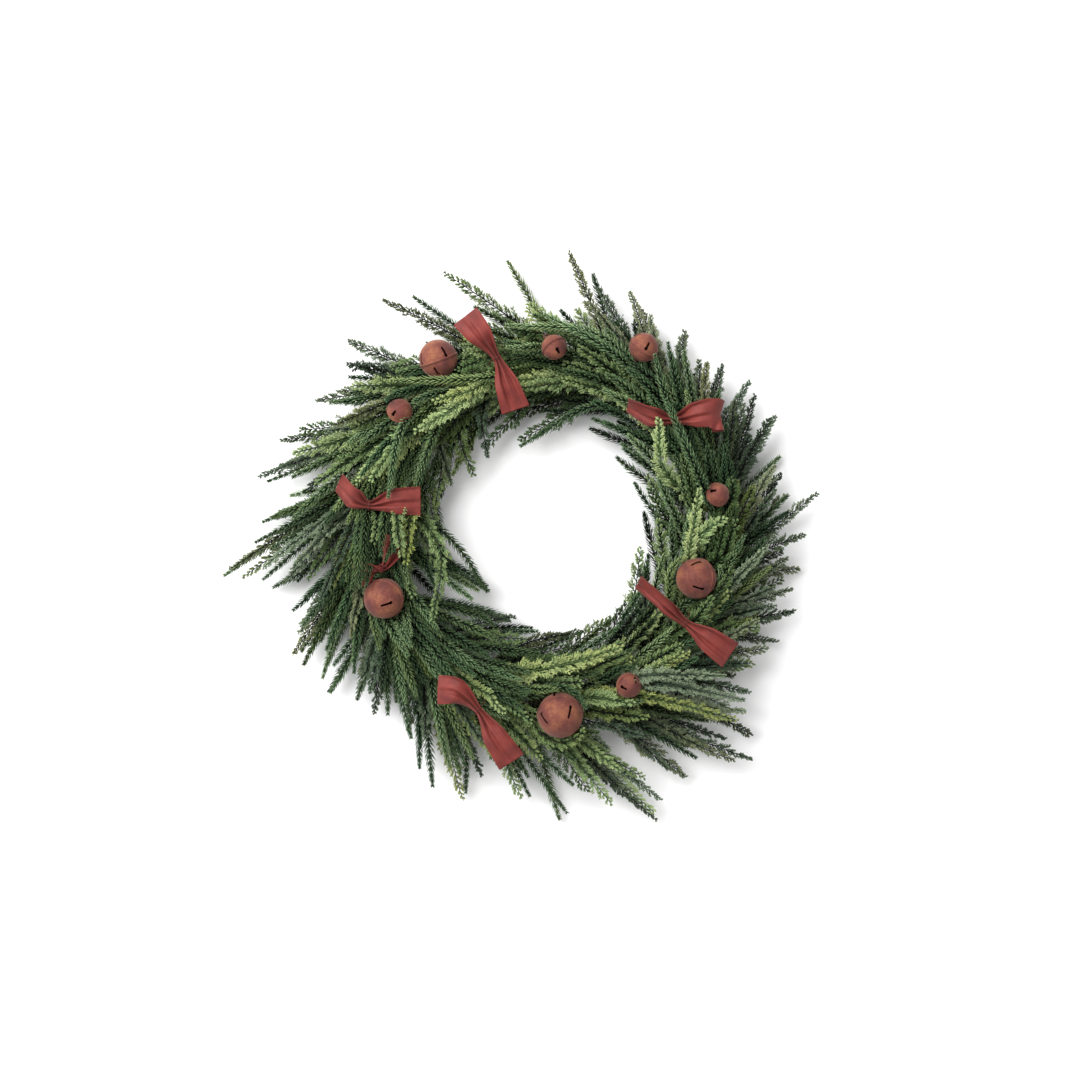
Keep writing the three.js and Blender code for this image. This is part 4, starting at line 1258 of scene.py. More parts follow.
def pine_shoot(shape, shoot, random, tone, hue, balls, greens, width, taper):
    """A round brush: whorls of needles that leave the stem steeply and lean forward along it."""
    ways = np.arange(PINE_START, shoot.length - PINE_END, millimetres(greens.whorl_gap))
    done = (ways - ways[0]) / (ways[-1] - ways[0])
    step = 2 * math.pi / WHORL_NEEDLES
    turns = np.arange(len(ways))[:, None] * step / 2 + np.arange(WHORL_NEEDLES)[None] * step
    turns = (turns + random.uniform(-TURN_JITTER, TURN_JITTER, turns.shape)).ravel()[:, None]
    starts = ways[:, None] + random.uniform(-WHORL_JITTER, WHORL_JITTER, (len(ways), WHORL_NEEDLES))
    point, along, across, above = (part.reshape(-1, 3) for part in shoot.at(starts))
    outward = leaning(across, above, turns)
    grown = np.repeat(swelling(done, closing=taper, **PINE_SWELL), WHORL_NEEDLES)
    count = len(grown)
    lengths = millimetres(greens.needle_length) * width * grown * random.uniform(*NEEDLE_LENGTHS, count)
    lean = mix(NEEDLE_LEAN, TIP_LEAN, np.repeat(done, WHORL_NEEDLES) ** 3)
    steep = np.radians(lean + random.normal(0, LEAN_JITTER, count))[:, None]
    first, second = leaning(along, outward, steep), leaning(along, outward, steep * NEEDLE_BEND)
    lines = bent(point + outward * NEEDLE_FOOT, first, second, lengths, HALVES)
    kept = clear_of(lines[:, -1], balls, NEEDLE_ROOM) & clear_of(lines[:, 1], balls, NEEDLE_ROOM)
    kept &= lines[:, -1, 2] > PINE_FLOOR
    half = millimetres(greens.needle_width) / 2 * random.uniform(*NEEDLE_WIDTHS, count)
    radii = half[:, None] * np.array([NEEDLE_TAPER])
    growth = tones(random, tone, hue, count, rings=2)
    blades(shape, lines[kept], radii[kept], outward[kept], growth[kept], PINE, squash=NEEDLE_SQUASH)
    core = np.linspace(CORE_START, shoot.length, 26)
    radii = PINE_CORE * np.linspace(1, 0.35, len(core)) * np.minimum(1, np.linspace(0.5, 8, len(core)))
    tube(shape, shoot.at(core)[0], radii, CORE_SIDES, PINE, (tone * 0.5, 0.0, hue))


def frond(shape, shoot, random, tone, hue, balls, size, habit):
    """Branchlets left and right of a stem, each with pairs of scale-leaved twiglets that point forward."""
    ways = np.arange(FROND_START, shoot.length - FROND_END, habit["gap"])
    ways = ways + random.uniform(-TWIG_JITTER, TWIG_JITTER, len(ways))
    count = len(ways)
    done = np.clip((ways - ways[0]) / (ways[-1] - ways[0]), 0, 1)
    point, along, across, above = shoot.at(ways)
    turn = (np.arange(count) % 2 * math.pi + random.normal(0, habit["bush"], count))[:, None]
    upward = np.where(random.random((count, 1)) < TWIGS_UPWARD, 1, -1)
    side = across * np.cos(turn) + above * np.abs(np.sin(turn)) * upward
    normal = unit(np.cross(along, side))
    steep = np.radians(random.normal(TWIG_LEAN, GREEN_JITTER, count))[:, None]
    first, second = unit(leaning(along, side, steep)), unit(leaning(along, side, steep * GREEN_BEND))
    swell = swelling(done, **FROND_SWELL)
    lengths = habit["reach"] * size * swell * random.uniform(*TWIG_LENGTHS, count)
    twigs = bent(point, first, second, lengths, QUARTERS)
    kept = clear_of(twigs[:, -1], balls, NEEDLE_ROOM) & clear_of(twigs[:, 2], balls, NEEDLE_ROOM)
    kept &= twigs[:, -1, 2] > FROND_FLOOR
    twigs, lengths, normal = twigs[kept], lengths[kept], normal[kept]
    count = len(twigs)
    radii = np.repeat(habit["thick"] * np.array([TWIG_TAPER]), count, 0)
    blades(shape, twigs, radii, normal, tones(random, tone, hue, count, rings=4), habit["finish"])
    for share in habit["pairs"]:
        for turn in (-1.0, 1.0):
            shifts = random.uniform(-LEAF_JITTER, LEAF_JITTER, count)
            place = (np.clip(share + shifts, 0, 0.99) * (len(QUARTERS) - 1))[:, None]
            low = place.astype(int)[:, 0]
            base, beyond = twigs[np.arange(count), low], twigs[np.arange(count), low + 1]
            root = mix(base, beyond, place - low[:, None])
            way = unit(beyond - base)
            aside = unit(np.cross(normal, way)) * turn
            lean = np.radians(random.normal(LEAF_LEAN, GREEN_JITTER, count))[:, None]
            start = leaning(way, aside, lean) + normal * random.normal(0, LEAF_TILT, (count, 1))
            ending = leaning(way, aside, lean * GREEN_BEND)
            long = lengths * (LEAF_SHARE - LEAF_SHARE_FALL * share)
            long = long * random.uniform(*LEAF_LENGTHS, count) + SHORTEST_LEAF
            lines = bent(root, unit(start), unit(ending), long, HALVES)
            fits = clear_of(lines[:, -1], balls, LEAF_ROOM) & (lines[:, -1, 2] > FROND_FLOOR)
            fits &= random.random(count) > LEAVES_LOST
            radii = np.repeat(habit["thick"] * np.array([LEAF_TAPER]), count, 0)
            growth = tones(random, tone, hue, count, rings=2, first=mix(*LEAF_FIRST, share))
            blades(shape, lines[fits], radii[fits], normal[fits], growth[fits], habit["finish"])
    core = np.linspace(CORE_START, shoot.length, 24)
    radii = np.linspace(1.0, 0.4, len(core))
    tube(shape, shoot.at(core)[0], radii, CORE_SIDES, habit["finish"], (tone, 0.1, hue))


def stem(shape, spray, shoot):
    """The bare stem, from its cut end behind the clamp to the first leaves."""
    along = on_ring(clamp_angle(spray["bunch"]) + math.pi / 2, 1, 0)
    front = shoot.fine[0]
    back = [front - along * way for way in (BUNDLE_BACK + BUNDLE_FRONT, BUNDLE_FRONT, BUNDLE_FRONT / 2)]
    line = np.array([*back, *shoot.at(np.linspace(0, BARE_STEM * 1.1, 9))[0]])
    tube(shape, line, np.linspace(STEM_THICKNESS, STEM_END, len(line)), 6, BARK)


def dressed(spray, shape, random, balls, greens):
    """Grows one spray's leaves on its stem. Low sprays get a darker tone, which is painted shade."""
    kind = spray["kind"]
    roll = 0.0 if kind == "pine" else random.uniform(-ROLL, ROLL)
    shoot = Shoot(spray["points"], roll)
    near = (np.zeros((0, 3)), np.zeros(0))
    if "tone" not in spray:
        near = near_balls(shoot, balls, NEAR_REACH)
        ways = np.linspace(0.3, 1, WAY_POINTS) * shoot.length
        blocked = ~clear_of(shoot.at(ways)[0], near, PASS_GAP)
        if blocked.any():
            end = max(ways[blocked.argmax()] - CUT_BACK, SHORTEST_SPRAY)
            shoot = Shoot(shoot.at(np.linspace(0, end, SPRAY_POINTS))[0], roll)
    tip = shoot.fine[-1]
    outer = math.hypot(tip[0], tip[1]) > FRINGE
    # Painted shade: the lower a spray's tip ends below the lit height, the darker its tone; fringe sprays get
    # none.
    depth = 0.0 if outer else min(1.0, max(0.0, (LIT_HEIGHT - tip[2]) / SHADE_DEPTH))
    drawn = random.normal(TONE_MIDDLE, TONE_SPREAD) - SHADE * depth
    tone = float(np.clip(spray.get("tone", drawn), *TONES))
    hue = float(np.clip(random.normal(0.5, HUE_SPREAD), 0, 1))
    if kind == "pine":
        width, taper = random.uniform(*PINE_WIDTHS), FRINGE_TAPER if outer else FACE_TAPER
        pine_shoot(shape, shoot, random, tone, hue, near, greens, width, taper)
    else:
        frond(shape, shoot, random, tone, hue, near, random.uniform(*FROND_SIZES), FRONDS[kind])
    stem(shape, spray, shoot)


def grow_cypress(sprays):
    """Turns many of the outermost sprays to cypress, most of all on the right-hand side."""
    random = np.random.default_rng(CYPRESS_SEED)
    for spray in sprays:
        tip = spray["points"][-1]
        turn = math.degrees(math.atan2(tip[1], tip[0]))
        shares = (share for low, high, share in CYPRESS_SECTORS if low <= turn < high)
        share = next(shares, CYPRESS_ELSEWHERE)
        if math.hypot(tip[0], tip[1]) > FRINGE and random.random() < share:
            spray["kind"] = "cypress"


def all_sprays():
    """Every spray of the wreath with its settled path."""
    balls = hindrances([*BELL_TIES, *RIBBON_TIES])
    sprays = construction_sprays()
    settle(sprays, balls, ELBOW_ROOM, SETTLING_ROUNDS)
    sprays += standout_sprays()
    fillers = filler_sprays()
    resting = np.concatenate([spray["points"] for spray in sprays])
    settle(fillers, balls, FILLER_ELBOW, FILLER_ROUNDS, resting)
    sprays += fillers
    grow_cypress(sprays)
    return sprays


def keep_clear_balls():
    """Bells and ribbons as balls that no needle reaches into."""
    balls = [(np.array(bell["place"], float), bell["size"] / 2 + BELL_SKIN) for bell in BELLS]
    balls += [(point, RIBBON_SKIN) for point in ribbon_points()]
    return tuple(np.array(part) for part in zip(*balls))


BELL_TIES = [tie_path(eye_hold(bell), BELL_TIE_AHEAD) for bell in BELLS]
RIBBON_TIES = [tie_path(pinch_hold(stations), RIBBON_TIE_AHEAD) for stations in RIBBONS]


# --- Clamp ring -----------------------------------------------------------------------------------


STRAP_BEND = 2.2
STRAP_CHAMFER = 0.35
HOOP_STEPS = 180
HOOP_SIDES = 14
RING_EDGE = math.radians(50)


def rounded_path(corners, radius, steps=5):
    """A line through corners that are rounded off by arcs."""
    line = [corners[0]]
    for before, corner, after in zip(corners[:-2], corners[1:-1], corners[2:]):
        towards, away = unit(before - corner), unit(after - corner)
        half = math.acos(float(np.clip(towards @ away, -1, 1))) / 2
        shorter = min(np.linalg.norm(before - corner), np.linalg.norm(after - corner))
        back = min(radius / math.tan(half), 0.49 * shorter)
        start, end = corner + towards * back, corner + away * back
        for t in np.linspace(0, 1, steps):
            line.append((1 - t) ** 2 * start + 2 * t * (1 - t) * corner + t * t * end)
    return np.array([*line, corners[-1]])


def clamp_strap(shape, bunch):
    """A steel strap bent up round the stems, with its two ends folded inward over them."""
    mid = CLAMP_SHEET / 2
    w, h, lip = CLAMP_HALF_WIDTH - mid, CLAMP_HEIGHT - mid, CLAMP_HALF_WIDTH - CLAMP_LIP
    corners = [(-lip, h), (-w, h), (-w, mid), (w, mid), (w, h), (lip, h)]
    line = rounded_path(np.array([(x, 0.0, z) for x, z in corners]), STRAP_BEND)
    angle = clamp_angle(bunch)
    outward, along = on_ring(angle, 1, 0), on_ring(angle + math.pi / 2, 1, 0)
    half = CLAMP_LENGTH / 2
    quarter = [(mid - STRAP_CHAMFER, half), (mid, half - STRAP_CHAMFER)]
    section = [*quarter, *((side, -end) for side, end in quarter[::-1])]
    section += [(-side, -end) for side, end in section]
    sides = len(section)
    rings = []
    for at, (x, _, z) in enumerate(line):
        before, after = line[max(at - 1, 0)], line[min(at + 1, len(line) - 1)]
        way = unit(after - before)
        normal = np.array([-way[2], 0.0, way[0]])
        place = on_ring(angle, RING_RADIUS, 0) + outward * x + UP * z
        across = outward * normal[0] + UP * normal[2]
        rings.append([place + across * side + along * end for side, end in section])
    points = np.array(rings).reshape(-1, 3)
    points = np.concatenate([points, [points[:sides].mean(0)], [points[-sides:].mean(0)]])
    turn, last = np.arange(sides), (len(line) - 1) * sides
    after = (turn + 1) % sides
    ends = np.concatenate([
        np.stack([after, turn, np.full(sides, len(points) - 2)], 1),
        np.stack([last + turn, last + after, np.full(sides, len(points) - 1)], 1),
    ])
    shape.add(points, ring_faces(len(line), sides), ends)


def ring_bar(radius, wire, steps, sides):
    """A ring of round bar about +Z: its points and faces."""
    turn = np.arange(steps) * 2 * math.pi / steps
    spin = np.arange(sides) * 2 * math.pi / sides
    reach = radius + wire * np.cos(spin)[None]
    points = np.stack([
        reach * np.cos(turn)[:, None],
        reach * np.sin(turn)[:, None],
        np.broadcast_to(wire * np.sin(spin)[None], (steps, sides)),
    ], -1).reshape(-1, 3)
    ring, side = np.divmod(np.arange(steps * sides), sides)
    after = (side + 1) % sides
    near, far = ring * sides, (ring + 1) % steps * sides
    return points, np.stack([near + side, far + side, far + after, near + after], 1)


def hoop(shape):
    """The round wire hoop that all clamps are welded under."""
    points, quads = ring_bar(RING_RADIUS, RING_WIRE / 2, HOOP_STEPS, HOOP_SIDES)
    shape.add(points + UP * HOOP_HEIGHT, quads)


# --- Bells ----------------------------------------------------------------------------------------

# Slots that a bell has on the cup with its eye, which the construction leaves out: latitude and first turn.
BACK_SLOTS = {0: (-34, 63), 6: (-40, 20), 8: (-38, 66), 5: (-40, 10)}
# Bells that show fewer slots on the front cup than the construction's four: which quarters have one.
SEEN_SLOTS = {3: (2,), 4: (1, 3), 6: (3,)}
FIRST_SLOT = 22.5
# A slot's length is a share of the bell's radius. One end is rounded and the other widens to a round hole:
# the side it lies on, the radius of its arc as a share of the slot's width, and half the arc's degrees.
SLOT_SHARE = 0.62
SLOT_ENDS = ((1, 0.55, 90), (-1, 0.85, 135))
SLOT_SIDES = 10
# Shares of the bell's radius that a slot's cutter reaches between.
CUT_DEPTHS = (0.7, 1.3)
SHEET_IRON = 1.0
LATHE_ROWS = 48
LATHE_STEPS = 96
HOLLOW_ROWS = 25
HOLLOW_STEPS = 48
EYE_STEPS = 28
EYE_SIDES = 10
BELL_EDGE = math.radians(38)
BELL_SEED = 40
# Waves round a bell that make it a little uneven, their height, and how they turn from pole to pole.
UNEVEN_WAVES = (2, 3, 4, 5)
UNEVEN = 0.045
UNEVEN_TURN = 0.09
# Half the section of a bell's seam, a lip with a groove in its middle: radians from the groove, and height
# as a share of the lip's. The other half is its mirror image.
SEAM_SECTION = ((-0.075, 0.0), (-0.06, 0.3), (-0.042, 0.85), (-0.02, 1.0), (-0.006, -0.45))
SEAM_CLEAR = 0.09
# A pellet's radius as a share of its bell's size, the share of it that is drawn, and how low it lies.
PELLET_SHARE = 0.09
PELLET_DRAWN = 0.97
PELLET_DEPTH = 0.8
PELLET_ROWS = 13
PELLET_STEPS = 20
PELLET_SEED = 70


def revolved(profile, steps, seed=None):
    """A closed body of revolution about +Z, with a faint unevenness from a seed."""
    turn = np.arange(steps) * 2 * math.pi / steps
    inner = profile[1:-1]
    points = np.stack([
        inner[:, :1] * np.cos(turn)[None], inner[:, :1] * np.sin(turn)[None],
        np.broadcast_to(inner[:, 1:], (len(inner), steps)),
    ], -1)
    if seed is not None:
        phases = np.random.default_rng(seed).uniform(0, 2 * math.pi, 6)
        wobble = sum(
            np.sin(turn[None] * waves + phases[waves] + inner[:, 1:] * waves * UNEVEN_TURN)
            for waves in UNEVEN_WAVES
        )
        points += unit(points) * (UNEVEN * wobble)[..., None]
    points = np.concatenate([points.reshape(-1, 3), [[0, 0, profile[0][1]]], [[0, 0, profile[-1][1]]]])
    side = np.arange(steps)
    after = (side + 1) % steps
    last = (len(inner) - 1) * steps
    ends = np.concatenate([
        np.stack([after, side, np.full(steps, len(points) - 2)], 1),
        np.stack([last + side, last + after, np.full(steps, len(points) - 1)], 1),
    ])
    return points, ring_faces(len(inner), steps), ends


def half_outline(latitudes, radii):
    """Half outline of a round body from pole to pole."""
    profile = np.stack([radii * np.cos(latitudes), radii * np.sin(latitudes)], 1)
    profile[0, 0] = profile[-1, 0] = 0
    return profile


def ball_profile(radius, rows):
    """Half outline of a ball."""
    return half_outline(np.linspace(-math.pi / 2, math.pi / 2, rows), radius)


def bell_profile(radius, seam):
    """Half outline of a bell, with a bead and a fine groove where its two cups meet."""
    latitudes = np.linspace(-math.pi / 2, math.pi / 2, LATHE_ROWS + 1)
    seam_at = math.radians(seam)
    away = np.abs(latitudes - seam_at) > SEAM_CLEAR
    section = np.array([*SEAM_SECTION, *((-turn, height) for turn, height in SEAM_SECTION[::-1])])
    rows = np.concatenate([
        np.stack([latitudes[away], np.full(away.sum(), radius)], 1),
        np.stack([seam_at + section[:, 0], radius + BELL_SEAM * section[:, 1]], 1),
    ])
    rows = rows[np.argsort(rows[:, 0])]
    return half_outline(rows[:, 0], rows[:, 1])


def plain_object(name, points, *faces):
    """A bare mesh object in millimetres, for joining and cutting."""
    mesh = bpy.data.meshes.new(name)
    mesh.from_pydata(points.tolist(), [], [corners.tolist() for group in faces for corners in group])
    made = bpy.data.objects.new(name, mesh)
    bpy.context.scene.collection.objects.link(made)
    return made


def slot_cutter(radius, width, latitude, turn):
    """A slot's cutter, which stands through the bell's wall: its inner and its outer outline."""
    length = SLOT_SHARE * radius
    outline = []
    for end, knob_share, reach in SLOT_ENDS:
        knob = width * knob_share
        facing = 0 if end == 1 else math.pi
        for step in range(SLOT_SIDES + 1):
            spin = math.radians(mix(-reach, reach, step / SLOT_SIDES)) + facing
            outline.append((end * (length / 2 - knob) + knob * math.cos(spin), knob * math.sin(spin)))
    tilt, spin = math.radians(latitude), math.radians(turn)
    up = np.array([-math.sin(tilt) * math.cos(spin), -math.sin(tilt) * math.sin(spin), math.cos(tilt)])
    out = np.array([math.cos(tilt) * math.cos(spin), math.cos(tilt) * math.sin(spin), math.sin(tilt)])
    side = np.cross(out, up)
    return np.array([
        [up * x + side * y + out * (radius * depth) for x, y in outline] for depth in CUT_DEPTHS
    ])


def slots_object(index, bell, width):
    """The cutters of all slots that a bell shows."""
    slots = [(bell["latitude"], FIRST_SLOT + 90 * quarter) for quarter in SEEN_SLOTS.get(index, range(4))]
    if index in BACK_SLOTS:
        latitude, turn = BACK_SLOTS[index]
        slots += [(latitude, turn + 90 * quarter) for quarter in range(4)]
    rings = np.array([slot_cutter(bell["size"] / 2, width, *slot) for slot in slots])
    count = rings.shape[2]
    side = np.arange(count)
    after = (side + 1) % count
    walls = np.stack([side, after, after + count, side + count], 1)
    faces = []
    for start in range(0, len(slots) * 2 * count, 2 * count):
        faces += [*(start + walls), start + side[::-1], start + count + side]
    return plain_object("bell_slots", rings.reshape(-1, 3), faces)


def eye_ring(radius):
    """The wire eye at a bell's back pole."""
    points, quads = ring_bar(EYE_RADIUS, EYE_WIRE, EYE_STEPS, EYE_SIDES)
    upright = points[:, [0, 2, 1]]
    upright[:, 2] = upright[:, 2] - radius - EYE_RADIUS + EYE_WIRE
    return plain_object("bell_eye", upright, quads[:, [0, 3, 2, 1]])


def bell_mesh(index, bell, material, settings):
    """One bell with its hollow, slots and eye, turned and placed as in the construction."""
    radius = bell["size"] / 2
    profile = bell_profile(radius, bell["seam"])
    inner = ball_profile(radius - millimetres(settings.sheet), HOLLOW_ROWS)
    body = plain_object("bell_outside", *revolved(profile, LATHE_STEPS, BELL_SEED + index))
    hollow = plain_object("bell_hollow", *revolved(inner, HOLLOW_STEPS))
    cutter = slots_object(index, bell, millimetres(settings.slot_width))
    eye = eye_ring(radius)
    for other, operation in ((hollow, "DIFFERENCE"), (cutter, "DIFFERENCE"), (eye, "UNION")):
        cut = body.modifiers.new(other.name, "BOOLEAN")
        cut.object, cut.operation, cut.solver = other, operation, "EXACT"
    graph = bpy.context.evaluated_depsgraph_get()
    made = bpy.data.meshes.new_from_object(body.evaluated_get(graph))
    made.name = f"bell_{index + 1}"
    turned = bell_turn(bell).to_matrix().to_4x4()
    place = Vector(np.array(bell["place"]) * MM + CENTRE)
    made.transform(Matrix.Translation(place) @ turned @ Matrix.Scale(MM, 4))
    made.polygons.foreach_set("use_smooth", np.ones(len(made.polygons), bool))
    made.set_sharp_from_angle(angle=BELL_EDGE)
    made.materials.clear()
    made.materials.append(material)
    for helper in (body, hollow, cutter, eye):
        data = helper.data
        bpy.data.objects.remove(helper)
        bpy.data.meshes.remove(data)
    if len(made.polygons) < LATHE_ROWS * LATHE_STEPS / 2:
        raise RuntimeError(f"bell {index + 1} was lost in cutting")
    return made


def pellet(shape, bell, seed):
    """The loose pellet at the bottom of a bell, a little uneven."""
    radius = bell["size"] * PELLET_SHARE
    drop = bell["size"] / 2 * CAVITY * PELLET_DEPTH - radius - FIT_GAP
    points, quads, ends = revolved(ball_profile(radius * PELLET_DRAWN, PELLET_ROWS), PELLET_STEPS, seed)
    shape.add(points + np.array(bell["place"], float) - UP * drop, quads, ends)


# --- Ribbons --------------------------------------------------------------------------------------

RIBBON_ROWS = 96
RIBBON_COLUMNS = 72
RIBBON_SEED = 90
CLOTH = 0.5
# Half waves across a ribbon, smaller ones as shares of them, and how far they wander along it, in radians.
PLEATS = 2.5
SMALL_PLEATS = 1.7
SMALL_PLEAT = 0.35
PLEAT_WANDER = 0.5
WANDER_WAVES = 5
TIGHTEST = 0.2
# A slight cupping across the ribbon, about its mean height, which changes sides along it.
CUP = 1.1
CUP_MIDDLE = 0.4


def ribbon_sheet(stations, width, seed):
    """A thin woven strip: full width at its cut ends, pleated towards the pinch, and soft in between."""
    random = np.random.default_rng(seed)
    parts = np.linspace(0, 1, RIBBON_ROWS + 1)
    middles, ways, halves = ribbon_stations(stations, parts)
    halves = halves * (width / RIBBON_WIDTH)
    along = unit(np.gradient(middles, axis=0))
    ways = unit(ways - along * (ways * along).sum(1, keepdims=True))
    normals = unit(np.cross(along, ways))
    normals *= np.where(normals[:, 2:] < 0, -1.0, 1.0)
    sides = np.linspace(-1, 1, RIBBON_COLUMNS + 1)
    wide = np.clip(2 * halves / width, TIGHTEST, 1)
    pleat = 2 * halves / (2 * math.pi * PLEATS) * np.sqrt(2 * (1 / wide**2 - 1))
    start = random.uniform(-PLEAT_WANDER, PLEAT_WANDER)
    phase = start + PLEAT_WANDER * np.sin(parts * WANDER_WAVES + random.uniform(0, 6))
    wave = np.sin(math.pi * PLEATS * sides[None] + phase[:, None])
    wave += SMALL_PLEAT * np.sin(math.pi * PLEATS * SMALL_PLEATS * sides[None] + phase[:, None] * 2 + 1)
    cupping = CUP * np.sin(parts * math.pi * 2 + random.uniform(0, 6))
    cup = cupping[:, None] * (sides[None] ** 2 - CUP_MIDDLE)
    lift = pleat[:, None] * wave + cup * np.minimum(1, wide * 1.1)[:, None]
    across = ways[:, None] * (halves[:, None] * sides[None])[..., None]
    face = middles[:, None] + across + normals[:, None] * lift[..., None]
    slope_along = np.gradient(face, axis=0)
    slope_across = np.gradient(face, axis=1)
    thick = unit(np.cross(slope_along, slope_across)) * (CLOTH / 2)
    rows, columns = RIBBON_ROWS + 1, RIBBON_COLUMNS + 1
    points = np.concatenate([(face + thick).reshape(-1, 3), (face - thick).reshape(-1, 3)])
    length = np.concatenate([[0], np.cumsum(np.linalg.norm(np.diff(middles, axis=0), axis=1))])
    growth = np.stack([
        np.broadcast_to(sides[None] * width / 2, (rows, columns)),
        np.broadcast_to(length[:, None], (rows, columns)),
        np.broadcast_to(np.abs(sides)[None], (rows, columns)),
    ], -1).reshape(-1, 3)
    row, column = np.divmod(np.arange(RIBBON_ROWS * RIBBON_COLUMNS), RIBBON_COLUMNS)
    a = row * columns + column
    top = np.stack([a, a + columns, a + columns + 1, a + 1], 1)
    bottom = top[:, ::-1] + rows * columns
    rim = np.concatenate([
        np.arange(columns), np.arange(1, rows) * columns + columns - 1,
        (rows - 1) * columns + np.arange(columns - 2, -1, -1), np.arange(rows - 2, 0, -1) * columns,
    ])
    after = np.roll(rim, -1)
    edge = np.stack([rim, after, after + rows * columns, rim + rows * columns], 1)
    shape = Shape()
    shape.add(points, np.concatenate([top, bottom, edge]), growth=np.concatenate([growth, growth]))
    return shape, length[-1]


# --- Settings that a user may change --------------------------------------------------------------

# Where the two soft lights stand, in metres from the middle of the floor, and the side of each.
KEY_PLACE = (-1.3, 1.1, 2.2)
FILL_PLACE = (1.6, -0.9, 2.0)
LIGHT_SIDE = 2.4
SENSOR = 36.0


def size(name, description, default):
    """A length that a user may change, from its default in millimetres."""
    return FloatProperty(name=name, description=description, default=default * MM, min=0.0, unit="LENGTH")


def power(name, description, default):
    """A lamp's power that a user may change, in watts."""
    return FloatProperty(name=name, description=description, default=default, min=0.0, unit="POWER")


def colour(name, description, hex_colour):
    """A colour that a user may change, from its default in sRGB."""
    return FloatVectorProperty(
        name=name, description=description, default=linear(hex_colour),
        subtype="COLOR", size=4, min=0.0, max=1.0,
    )


class WreathStage(bpy.types.PropertyGroup):
    lens: FloatProperty(
        name="Lens", description="Focal length of the camera's lens, in millimetres", default=85.0, min=20.0
    )
    distance: FloatProperty(
        name="Distance", description="From the camera down to the middle of the wreath's height",
        default=2.55, unit="LENGTH",
    )
    aim: FloatVectorProperty(
        name="Aim", description="Point on the floor that the camera stands over", default=(0.0196, -0.0024),
        size=2, unit="LENGTH",
    )
    floor_size: FloatProperty(name="Floor", description="Side of the floor", default=9.0, unit="LENGTH")
    key_power: power("Key light", "Power of the soft light at the upper left", 150.0)
    fill_power: power("Fill light", "Power of the soft light at the lower right", 20.0)
    world_light: FloatProperty(
        name="World light", description="Strength of the even white light from all round",
        default=0.28, min=0.0,
    )


class WreathRing(bpy.types.PropertyGroup):
    enamel: colour("Enamel", "Colour of the ring's baked enamel", "#203A28")


class WreathGreens(bpy.types.PropertyGroup):
    needle_length: size("Needle length", "Length of the pine's longest needles", NEEDLE_LENGTH)
    needle_width: size("Needle width", "Width of the pine's needles at their roots", NEEDLE_WIDTH)
    whorl_gap: size("Whorl gap", "From one whorl of pine needles to the next along a shoot", WHORL_GAP)
    # The dark colours, at the leaves' roots, are nearly black: partly the leaves' own colour and partly
    # painted shade.
    pine_dark_and_shade: colour("Pine dark", "Pine needles at their roots", "#060B07")
    pine_light: colour("Pine light", "Pine needles in their middles", "#4A6644")
    pine_fresh: colour("Pine fresh", "Pine needles at their points", "#A8BF8B")
    cedar_dark_and_shade: colour("Cedar dark", "Cedar leaves at their roots", "#0B120A")
    cedar_light: colour("Cedar light", "Cedar leaves in their middles", "#546C41")
    cedar_fresh: colour("Cedar fresh", "Cedar leaves at their tips", "#B6C68A")
    cypress_dark_and_shade: colour("Cypress dark", "Cypress leaves at their roots", "#090E0A")
    cypress_light: colour("Cypress light", "Cypress leaves in their middles", "#4A5944")
    cypress_fresh: colour("Cypress fresh", "Cypress leaves at their tips", "#A3AE8E")
    bark: colour("Bark", "Bark of the stems between its flecks", "#5F6A3C")


class WreathBells(bpy.types.PropertyGroup):
    sheet: size("Sheet", "Thickness of the bells' sheet iron", SHEET_IRON)
    slot_width: size("Slot width", "Width of the bells' sound slots", SLOT_WIDTH)
    rust_dark: colour("Rust dark", "Rust in the darkest patches", "#5E2F2C")
    rust_middle: colour("Rust middle", "Rust over most of a bell", "#703A30")
    rust_light: colour("Rust light", "Rust in the lighter patches", "#7E4737")
    rust_orange: colour("Rust orange", "Fresh rust", "#8E573B")


class WreathRibbons(bpy.types.PropertyGroup):
    width: size("Width", "Width of the ribbon as it is cut", RIBBON_WIDTH)
    dye_dark: colour("Dye dark", "Ribbon cloth where the dye is deepest", "#611D18")
    dye_middle: colour("Dye middle", "Ribbon cloth over most of its face", "#73261F")
    dye_light: colour("Dye light", "Ribbon cloth where it is worn", "#84322A")


GROUPS = {
    "wreath_stage": WreathStage,
    "wreath_ring": WreathRing,
    "wreath_greens": WreathGreens,
    "wreath_bells": WreathBells,
    "wreath_ribbons": WreathRibbons,
}


# --- Operators ------------------------------------------------------------------------------------


